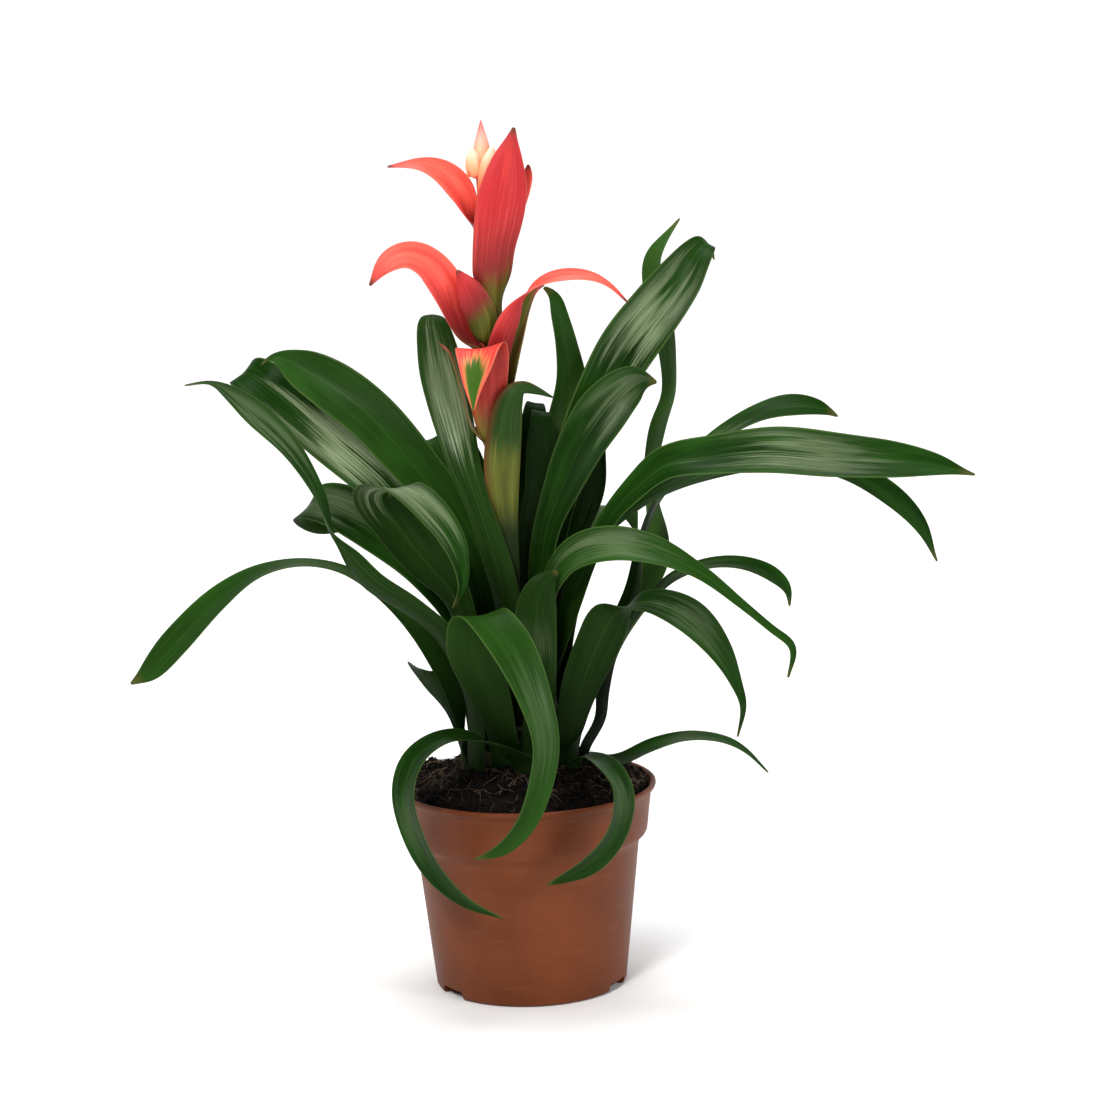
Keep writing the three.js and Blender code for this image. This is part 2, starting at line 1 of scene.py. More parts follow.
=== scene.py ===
# %% [markdown]
# # A guzmania in flower in its nursery pot
#
# This lesson dresses a plain model of a bromeliad. The plain model is the frame: a closed solid for the
# pot, the peat, the stem, and each leaf and bract, all in place and at their real size. The lesson lays a
# finely curved and coloured piece over each of them. Blender measures in metres, and the pot stands on
# Z = 0. Where millimetres are easier to read, a size is given in them and multiplied by MM.

import math
import random

import bmesh
import bpy
from mathutils import Matrix, Vector


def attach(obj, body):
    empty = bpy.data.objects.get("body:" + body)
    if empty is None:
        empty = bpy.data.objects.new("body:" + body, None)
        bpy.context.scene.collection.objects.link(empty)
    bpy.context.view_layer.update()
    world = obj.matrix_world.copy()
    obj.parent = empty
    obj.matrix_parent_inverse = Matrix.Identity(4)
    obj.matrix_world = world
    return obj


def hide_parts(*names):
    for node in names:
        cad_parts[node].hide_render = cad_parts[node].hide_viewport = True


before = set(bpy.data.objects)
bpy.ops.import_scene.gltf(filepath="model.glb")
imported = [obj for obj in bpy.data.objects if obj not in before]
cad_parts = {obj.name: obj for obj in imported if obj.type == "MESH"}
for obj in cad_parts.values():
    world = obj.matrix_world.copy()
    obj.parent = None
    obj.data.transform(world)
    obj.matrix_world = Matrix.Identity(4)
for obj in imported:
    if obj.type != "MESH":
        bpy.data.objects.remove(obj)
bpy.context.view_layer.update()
MM = 0.001
print("nodes in the frame:", len(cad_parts))

# %% [markdown]
# ## The camera
#
# The picture was taken from a little above, at about a metre and a half, with a long lens. The camera
# looks down by ten degrees, and leans a little under two, as the hand that held it did. Its lens is set
# so that the pot and the plant fill the frame as they do in the picture.

# %% Camera
CAMERA_AT = Vector((15.35, -1600.0, 499.8)) * MM
CAMERA_PITCH = math.radians(9.94)
CAMERA_ROLL = math.radians(1.67)
CAMERA_LENS = 107.61
SENSOR_WIDTH = 36.0
NEAREST, FARTHEST = 0.05, 60.0
camera_data = bpy.data.cameras.new("camera")
camera_data.lens = CAMERA_LENS
camera_data.sensor_width = SENSOR_WIDTH
camera_data.clip_start = NEAREST
camera_data.clip_end = FARTHEST
camera = bpy.data.objects.new("camera", camera_data)
bpy.context.collection.objects.link(camera)
right = Vector((1.0, 0.0, 0.0))
ahead = Vector((0.0, math.cos(CAMERA_PITCH), -math.sin(CAMERA_PITCH)))
above = right.cross(ahead)
camera_x = math.cos(CAMERA_ROLL) * right - math.sin(CAMERA_ROLL) * above
camera_y = math.sin(CAMERA_ROLL) * right + math.cos(CAMERA_ROLL) * above
camera.matrix_world = Matrix.Translation(CAMERA_AT) @ Matrix(
    (camera_x, camera_y, -ahead)).transposed().to_4x4()
bpy.context.scene.camera = camera
print("camera at", tuple(round(v, 3) for v in camera.location))

# %% [markdown]
# ## Helpers for modelling
#
# Loading the frame leaves its nodes selected, and an operator acts on all that is selected, so each piece
# starts by clearing the selection. A finished piece rides on the frame's one body, names the node that it
# stands for, and takes its finish; the frame's node is then hidden.

# %% Modelling helpers
def clear_selection():
    if bpy.context.object and bpy.context.object.mode != "OBJECT":
        bpy.ops.object.mode_set(mode="OBJECT")
    bpy.ops.object.select_all(action="DESELECT")


def select_only(piece):
    clear_selection()
    piece.select_set(True)
    bpy.context.view_layer.objects.active = piece


def new_piece(node):
    """Takes the primitive that was just added as the piece that will stand for a node."""
    piece = bpy.context.object
    piece.name = node + "_dressed"
    return piece


def mesh_piece(name, points, faces):
    """A piece made of points and faces that were worked out beforehand."""
    mesh = bpy.data.meshes.new(name)
    mesh.from_pydata(points, [], faces)
    piece = bpy.data.objects.new(name, mesh)
    bpy.context.collection.objects.link(piece)
    return piece


def add_modifier(piece, kind, **settings):
    """Adds a modifier and applies it at once."""
    modifier = piece.modifiers.new(kind.lower(), kind)
    for key, value in settings.items():
        setattr(modifier, key, value)
    select_only(piece)
    bpy.ops.object.modifier_apply(modifier=modifier.name)


def keep_values(mesh, name, values, domain="POINT"):
    """Stores a number for each point or face, where a finish can read it."""
    mesh.attributes.new(name, "FLOAT", domain).data.foreach_set("value", values)


def settle(piece):
    """Puts the piece's place into its mesh, so that its object sits at the origin."""
    select_only(piece)
    bpy.ops.object.transform_apply(location=True, rotation=True, scale=True)


def shade_smooth(piece):
    piece.data.polygons.foreach_set("use_smooth", [True] * len(piece.data.polygons))


def smooth_below(piece, degrees):
    """Keeps the edges sharp where two faces meet at more than so many degrees."""
    select_only(piece)
    bpy.ops.object.shade_smooth_by_angle(angle=math.radians(degrees))


def finish_piece(piece, slot, material, *nodes):
    settle(piece)
    piece.data.materials.clear()
    piece.data.materials.append(material)
    shade_smooth(piece)
    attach(piece, "root")
    if nodes:
        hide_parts(*nodes)


print("modelling helpers ready")

# %% Helpers for numbers
def smoothstep(low, high, value):
    part = min(max((value - low) / (high - low), 0.0), 1.0)
    return part * part * (3.0 - 2.0 * part)


def mix(a, b, part):
    return a + (b - a) * part


def on_circle(radius, angle, height):
    return Vector((radius * math.cos(angle), radius * math.sin(angle), height))


def ground_noise(x, y, z=0.0):
    """Smooth made-up lumpiness between about -1 and 1, the same on each run."""
    wave = math.sin(1.7 * x + 2.3 * y + 0.9 * z) + math.sin(-2.9 * x + 1.1 * y + 1.7 * z + 2.0)
    return 0.5 * (wave * 0.6 + 0.8 * math.sin(3.1 * y - 2.2 * z + 1.3 * math.sin(2.0 * x + z)))


print("number helpers ready")

# %% [markdown]
# ## Building materials from nodes
#
# A finish is a web of small nodes. The class below adds them under short names, such as times and mask,
# so that a finish reads as a short list. It serves a material and a node group alike. Effects that
# several finishes share are node groups with named inputs and outputs.

# %% Node helpers
class Nodes:
    """The nodes of one material or of one group."""

    def __init__(self, tree):
        self.tree = tree

    def feed(self, socket, value):
        """Joins another node's output to a socket, or sets the socket's own number or colour."""
        if isinstance(value, bpy.types.NodeSocket):
            self.tree.links.new(value, socket)
        else:
            socket.default_value = (*value, 1.0) if socket.type == "RGBA" else value

    def add(self, kind, inputs=None, **settings):
        node = self.tree.nodes.new("ShaderNode" + kind)
        for key, value in settings.items():
            setattr(node, key, value)
        for key, value in (inputs or {}).items():
            self.feed(node.inputs[key], value)
        return node

    def math(self, operation, *values, clamp=False):
        return self.add("Math", dict(enumerate(values)), operation=operation, use_clamp=clamp).outputs[0]

    def plus(self, a, b, clamp=False):
        return self.math("ADD", a, b, clamp=clamp)

    def minus(self, a, b):
        return self.math("SUBTRACT", a, b)

    def times(self, a, b, clamp=False):
        return self.math("MULTIPLY", a, b, clamp=clamp)

    def sway(self, noise, amount):
        """Noise lies round one half. This turns it into a push up or down by an amount."""
        return self.times(self.minus(noise, 0.5), amount)

    def mask(self, value, low, high):
        """0 where value is at low and 1 where it is at high, with soft ends."""
        return self.add("MapRange", {"Value": value, "From Min": low, "From Max": high},
                        interpolation_type="SMOOTHSTEP").outputs["Result"]

    def colour(self, part, a, b):
        """Colour a where part is 0, and colour b where it is 1."""
        return self.add("Mix", {0: part, 6: a, 7: b}, data_type="RGBA", clamp_factor=True).outputs[2]


def new_group(name, inputs, outputs):
    """A node group whose input called Map is a place, and whose other sockets are numbers."""
    group = bpy.data.node_groups.new(name, "ShaderNodeTree")
    for way, labels in (("INPUT", inputs), ("OUTPUT", outputs)):
        for label in labels:
            kind = "NodeSocketVector" if label == "Map" else "NodeSocketFloat"
            group.interface.new_socket(label, in_out=way, socket_type=kind)
    return (Nodes(group), group.nodes.new("NodeGroupInput").outputs,
            group.nodes.new("NodeGroupOutput").inputs)


print("node helpers ready")

# %% [markdown]
# ## Veins that follow the blade
#
# A bromeliad's veins run side by side from the foot of the blade to its tip, so a pattern has to follow
# the blade as it bends. Every blade carries a map with its width across and its length along in tenths of
# a metre. Noise stretched along that length draws the veins, at a fine and at a broad scale. Each blade's
# own shift moves it to another part of the noise.

# %% Vein group
SHIFT_SPREAD = 17.3
veins, given, result = new_group(
    "blade_veins", ("Map", "Shift", "Across", "Along", "Detail"), ("Streak",))
split = veins.add("SeparateXYZ", {0: given["Map"]}).outputs
placed = veins.add("CombineXYZ", {
    "X": veins.times(split["X"], given["Across"]), "Y": veins.times(split["Y"], given["Along"]),
    "Z": veins.times(given["Shift"], SHIFT_SPREAD)})
streak = veins.add("TexNoise", {"Vector": placed.outputs[0], "Scale": 1.0, "Detail": given["Detail"],
                                "Roughness": 0.6})
veins.feed(result["Streak"], streak.outputs["Fac"])
print("vein group ready")

# %% [markdown]
# ## Masks that every blade shares
#
# The margins, the midrib and the tip of a blade are coloured apart from the rest. One group reads the map
# and the run from foot to tip, and gives a mask for each of them. Its side value runs from 0 at the
# midrib to 1 at the margins.

# %% Blade zone group
zones, given, result = new_group("blade_zones", ("Map", "Run"), ("Side", "Margin", "Midrib", "Tip"))
across = zones.add("SeparateXYZ", {0: given["Map"]}).outputs["X"]
side = zones.times(zones.math("ABSOLUTE", zones.minus(across, 0.5)), 2.0)
zones.feed(result["Side"], side)
zones.feed(result["Margin"], zones.mask(side, 0.9, 1.0))
zones.feed(result["Midrib"], zones.mask(side, 0.09, 0.0))
zones.feed(result["Tip"], zones.mask(given["Run"], 0.965, 0.995))
print("zone group ready")

# %% [markdown]
# ## A finish, layer by layer
#
# A painter would lay a ground colour and then glaze over it. A finish here works the same way: it starts
# from a body colour, and each tint lays another colour over it where a mask is bright. At the end the
# body colour, the roughness and a low relief are joined to the shader.

# %% Finish helpers
class Finish(Nodes):
    """The material of one kind of surface."""

    def __init__(self, name, shader_values):
        self.material = bpy.data.materials.new(name)
        self.material.use_nodes = True
        super().__init__(self.material.node_tree)
        self.shader = self.tree.nodes["Principled BSDF"]
        for key, value in shader_values.items():
            self.feed(self.shader.inputs[key], value)

    def own(self, name):
        """A number that the piece itself carries."""
        return self.add("Attribute", attribute_name=name).outputs["Fac"]

    def blade_map(self):
        return self.add("UVMap", uv_map="UVMap").outputs["UV"]

    def across(self):
        """0 at a blade's left margin and 1 at its right."""
        return self.add("SeparateXYZ", {0: self.blade_map()}).outputs["X"]

    def streaks(self, shift, *kinds):
        """Noise along the blade, for each kind: how fine across, how fine along, how much detail."""
        return [self.add("Group", {"Map": self.blade_map(), "Shift": shift, "Across": across,
                                   "Along": along, "Detail": detail},
                         node_tree=veins.tree).outputs["Streak"] for across, along, detail in kinds]

    def zones(self):
        return self.add("Group", {"Map": self.blade_map(), "Run": self.own("run")},
                        node_tree=zones.tree).outputs

    def place(self):
        return self.add("TexCoord").outputs["Object"]

    def height(self):
        """How high a point lies, in metres."""
        return self.add("SeparateXYZ", {0: self.place()}).outputs["Z"]

    def noise(self, scale, detail, roughness=0.5):
        """Noise in the piece's own space. With three scales it is drawn out along an axis."""
        place = self.place()
        if isinstance(scale, tuple):
            place = self.add("Mapping", {"Vector": place, "Scale": scale}).outputs[0]
            scale = 1.0
        return self.add("TexNoise", {"Vector": place, "Scale": scale, "Detail": detail,
                                     "Roughness": roughness}).outputs["Fac"]

    def tint(self, part, colour, weight=1.0):
        """Lays a colour over the body colour where part is bright."""
        self.body = self.colour(self.times(part, weight, clamp=True), self.body, colour)

    def done(self, roughness, relief, strength, depth):
        bump = self.add("Bump", {"Strength": strength, "Distance": depth, "Height": relief})
        for label, value in (("Base Color", self.body), ("Roughness", roughness),
                             ("Normal", bump.outputs["Normal"])):
            self.feed(self.shader.inputs[label], value)
        print(self.material.name, "made")
        return self.material


print("finish helpers ready")

# %% [markdown]
# ## The leaf finish
#
# The leaves are leathery and glossy, a deep green with finer and broader lengthwise streaks. The
# underside is greyer and duller and the thin margins are pale. The foot is nearly black, partly from the
# darker colour of old leaf bases and partly from painted shade where the leaves sheathe each other. A
# pale, streaky highlight is painted into the colour of many leaves where they bend towards the light.
# Each leaf says how strong its painted highlight is and how far up it lies. Its shade value darkens it
# with painted shade where it stands in the shade of others (above 0), or lightens it with painted light
# (below 0).

# %% Leaf finish
leaf = Finish("leaf_finish", {"Specular IOR Level": 0.02, "Coat Roughness": 0.3})
fine, broad, blotch = leaf.streaks(leaf.own("tone"), (42.0, 1.1, 2.0), (6.0, 1.5, 4.0), (1.6, 1.9, 2.0))
zone, run, under, shade = leaf.zones(), leaf.own("run"), leaf.own("under"), leaf.own("shade")
streaks = leaf.plus(leaf.times(fine, 0.55), leaf.times(broad, 0.45))
upper = leaf.colour(leaf.mask(streaks, 0.36, 0.66), (0.0038, 0.019, 0.0014), (0.0095, 0.038, 0.0030))
upper = leaf.colour(leaf.times(leaf.mask(blotch, 0.45, 0.7), 0.6), upper, (0.014, 0.060, 0.0050))
lower = leaf.colour(leaf.mask(streaks, 0.34, 0.70), (0.0065, 0.023, 0.0025), (0.016, 0.044, 0.0065))
leaf.body = leaf.colour(under, upper, lower)
print("greens of both faces mixed")

# %% Painted highlight on the leaves
wander = leaf.plus(leaf.sway(fine, 0.22), leaf.sway(broad, 0.45))
away = leaf.math("ABSOLUTE", leaf.minus(leaf.plus(run, wander), leaf.own("painted_highlight_at")))
painted_highlight = leaf.times(leaf.mask(away, 0.14, 0.0), leaf.mask(zone["Side"], 1.0, 0.45))
painted_highlight = leaf.times(painted_highlight, leaf.plus(0.62, leaf.times(leaf.mask(fine, 0.38, 0.60), 0.38)))
painted_highlight = leaf.times(painted_highlight, leaf.own("painted_highlight"))
# Painted highlight: a pale, streaky patch is mixed into the colour where the leaf bends towards the light.
leaf.tint(painted_highlight, (0.27, 0.34, 0.19), 0.75)
leaf.tint(zone["Midrib"], (0.030, 0.085, 0.016), 0.25)
leaf.tint(zone["Margin"], (0.075, 0.13, 0.035), 0.5)
# Painted shade darkens leaves that stand in the shade of others; a value below 0 paints light instead.
leaf.tint(shade, (0.0035, 0.011, 0.0020), 0.9)
leaf.tint(shade, (0.034, 0.092, 0.014), -0.9)
# The foot goes nearly black: the darker colour of old leaf bases and painted shade where the leaves sheathe
# each other.
foot = leaf.mask(run, 0.45, 0.12)
leaf.tint(foot, (0.0045, 0.011, 0.0022), 0.85)
leaf.tint(zone["Tip"], (0.12, 0.085, 0.026), 0.45)
polish = leaf.times(leaf.mask(fine, 0.40, 0.62), leaf.mask(broad, 0.40, 0.60))
polish = leaf.plus(0.02, leaf.times(polish, leaf.plus(0.03, leaf.times(painted_highlight, 0.35))))
leaf.feed(leaf.shader.inputs["Coat Weight"], leaf.times(polish, leaf.minus(1.0, foot)))
rough = leaf.plus(leaf.plus(0.26, leaf.times(streaks, 0.28)), leaf.times(under, 0.12))
leaf_finish = leaf.done(rough, streaks, 0.35, 0.0006)

# %% [markdown]
# ## The bract finish
#
# The flower's bracts are coloured leaves. Their foot is olive green. Above it they are dark scarlet,
# partly their own colour and partly painted shade near the stalk. Further out they turn a bright coral,
# painted lighter along the run and on the upper face as painted light, and lighter along the margins.
# The last part ages to crimson, with a brown tip. Each blade says how far up its green foot reaches,
# and how red or coral it is, which for some bracts adds painted light, so one finish serves them all.

# %% Bract finish
FLESH_GLOW = {"Subsurface Weight": 0.08, "Subsurface Scale": 0.004}
bract = Finish("bract_finish", {"Specular IOR Level": 0.15, **FLESH_GLOW})
fine, broad, patchy = bract.streaks(bract.own("tone"), (34.0, 1.6, 2.0), (6.0, 2.2, 3.0), (1.7, 2.4, 2.0))
run = bract.own("run")
reddish = bract.colour(bract.mask(broad, 0.3, 0.7), (0.41, 0.017, 0.022), (0.48, 0.027, 0.030))
coralish = bract.colour(bract.mask(broad, 0.3, 0.7), (0.78, 0.060, 0.042), (0.92, 0.120, 0.082))
# Painted light: the coral is lighter further out along the run and on the upper face; the patches are random
# tone.
painted_light_and_patches = bract.plus(bract.times(bract.minus(run, 0.45), 1.5), bract.sway(patchy, 1.4))
upper_face_painted_light = bract.times(bract.minus(1.0, bract.own("under")), 0.5)
lightness = bract.plus(bract.plus(bract.own("coral"), painted_light_and_patches), upper_face_painted_light, clamp=True)
bract.body = bract.colour(lightness, reddish, coralish)
bract.tint(bract.mask(fine, 0.5, 0.75), (1.0, 0.30, 0.22), 0.12)
print("reds and corals mixed")

# %% Foot and tip of the bracts
ragged = bract.plus(run, bract.sway(fine, 0.22))
ragged = bract.plus(ragged, bract.times(bract.minus(0.5, bract.across()), 0.16))
past_foot = bract.minus(ragged, bract.own("green_foot"))
# Dark scarlet above the green foot: partly the bract's own colour, partly painted shade near the stalk.
bract.tint(bract.mask(past_foot, 0.42, 0.02), (0.15, 0.016, 0.014), 0.9)
olive = bract.colour(bract.mask(broad, 0.35, 0.65), (0.050, 0.062, 0.006), (0.105, 0.110, 0.014))
bract.tint(bract.mask(past_foot, 0.10, -0.10), olive)
bract.tint(bract.zones()["Margin"], (0.90, 0.25, 0.17), 0.2)
ageing = bract.mask(bract.plus(run, bract.sway(broad, 0.2)), 0.84, 1.02)
bract.tint(ageing, (0.26, 0.022, 0.022), 0.8)
bract.tint(bract.mask(run, 0.945, 0.99), (0.075, 0.030, 0.016), 0.8)
bract_finish = bract.done(bract.plus(0.33, bract.times(fine, 0.2)), fine, 0.15, 0.0004)

# %% [markdown]
# ## Two special bracts
#
# Low on the stalk a bract folds over towards the viewer and shows its upper face: coral at the fold, a
# peach and yellow margin, and a bright green middle. Below it stands a bract that is still nearly a leaf:
# green above, yellow-olive below, with a reddish left margin.

# %% Flap finish
flap = Finish("flap_finish", {"Specular IOR Level": 0.2, **FLESH_GLOW})
fine, broad = flap.streaks(0.3, (30.0, 1.6, 2.0), (5.0, 2.2, 3.0))
zone, run = flap.zones(), flap.own("run")
outer = flap.colour(flap.mask(broad, 0.3, 0.7), (0.29, 0.014, 0.012), (0.47, 0.038, 0.026))
outer = flap.colour(flap.mask(flap.plus(run, flap.times(fine, 0.2)), 0.52, 0.30), outer,
                    (0.15, 0.13, 0.022))
flap.body = flap.colour(flap.mask(fine, 0.35, 0.7), (0.64, 0.040, 0.034), (0.78, 0.095, 0.070))
pointed = flap.minus(flap.plus(run, flap.sway(fine, 0.16)), flap.times(zone["Side"], 0.08))
flap.tint(flap.times(flap.mask(pointed, 0.68, 0.74), flap.mask(zone["Side"], 1.0, 0.6)),
          (0.74, 0.36, 0.12), 0.6)
flap.tint(flap.times(flap.mask(pointed, 0.71, 0.76), flap.mask(zone["Side"], 0.80, 0.5)),
          (0.038, 0.105, 0.0045))
flap.tint(flap.own("under"), outer)
flap.tint(zone["Margin"], (0.80, 0.30, 0.16), 0.3)
flap_finish = flap.done(flap.plus(0.33, flap.times(fine, 0.2)), fine, 0.3, 0.0005)

# %% Leafy bract finish
leafy = Finish("leafy_bract_finish", {"Specular IOR Level": 0.12})
fine, broad = leafy.streaks(0.7, (34.0, 1.4, 2.0), (6.0, 1.6, 3.0))
run = leafy.own("run")
leafy.body = leafy.colour(leafy.mask(broad, 0.3, 0.7), (0.060, 0.072, 0.010), (0.115, 0.125, 0.020))
green_top = leafy.colour(leafy.mask(fine, 0.35, 0.7), (0.010, 0.030, 0.003), (0.022, 0.058, 0.007))
leafy.tint(leafy.mask(leafy.plus(run, leafy.sway(fine, 0.18)), 0.60, 0.70), green_top)
leafy.tint(leafy.mask(leafy.across(), 0.26, 0.0), (0.15, 0.020, 0.012), 0.55)
leafy.tint(leafy.zones()["Margin"], (0.16, 0.12, 0.03), 0.3)
# Painted shade: the foot of the leafy bract is darkened where it stands among the other bracts.
leafy.tint(leafy.mask(run, 0.52, 0.36), (0.010, 0.020, 0.0035))
leafy_finish = leafy.done(leafy.plus(0.30, leafy.times(fine, 0.25)), fine, 0.3, 0.0005)

# %% [markdown]
# ## The flower head's finish
#
# The youngest bracts and the bud in the middle are pale. They run from orange at the foot through cream
# to a pink tip.

# %% Head finishes
def head_material(name, foot_colour, middle_colour, tip_colour):
    head = Finish(name, {"Coat Weight": 0.05, "Coat Roughness": 0.4, "Specular IOR Level": 0.4,
                         "Subsurface Weight": 0.12, "Subsurface Scale": 0.004})
    fine = head.streaks(head.own("tone"), (14.0, 3.0, 3.0))[0]
    ragged = head.plus(head.own("run"), head.sway(fine, 0.4))
    head.body = head.colour(head.mask(ragged, 0.30, 0.75), foot_colour, middle_colour)
    head.tint(head.mask(ragged, 0.65, 0.95), tip_colour)
    return head.done(head.plus(0.35, head.times(fine, 0.2)), fine, 0.25, 0.0004)


head_finish = head_material("head_bract_finish", (0.86, 0.14, 0.05), (0.93, 0.41, 0.21), (0.95, 0.66, 0.49))
bud_finish = head_material("bud_finish", (0.92, 0.50, 0.28), (0.90, 0.37, 0.29), (0.80, 0.13, 0.13))
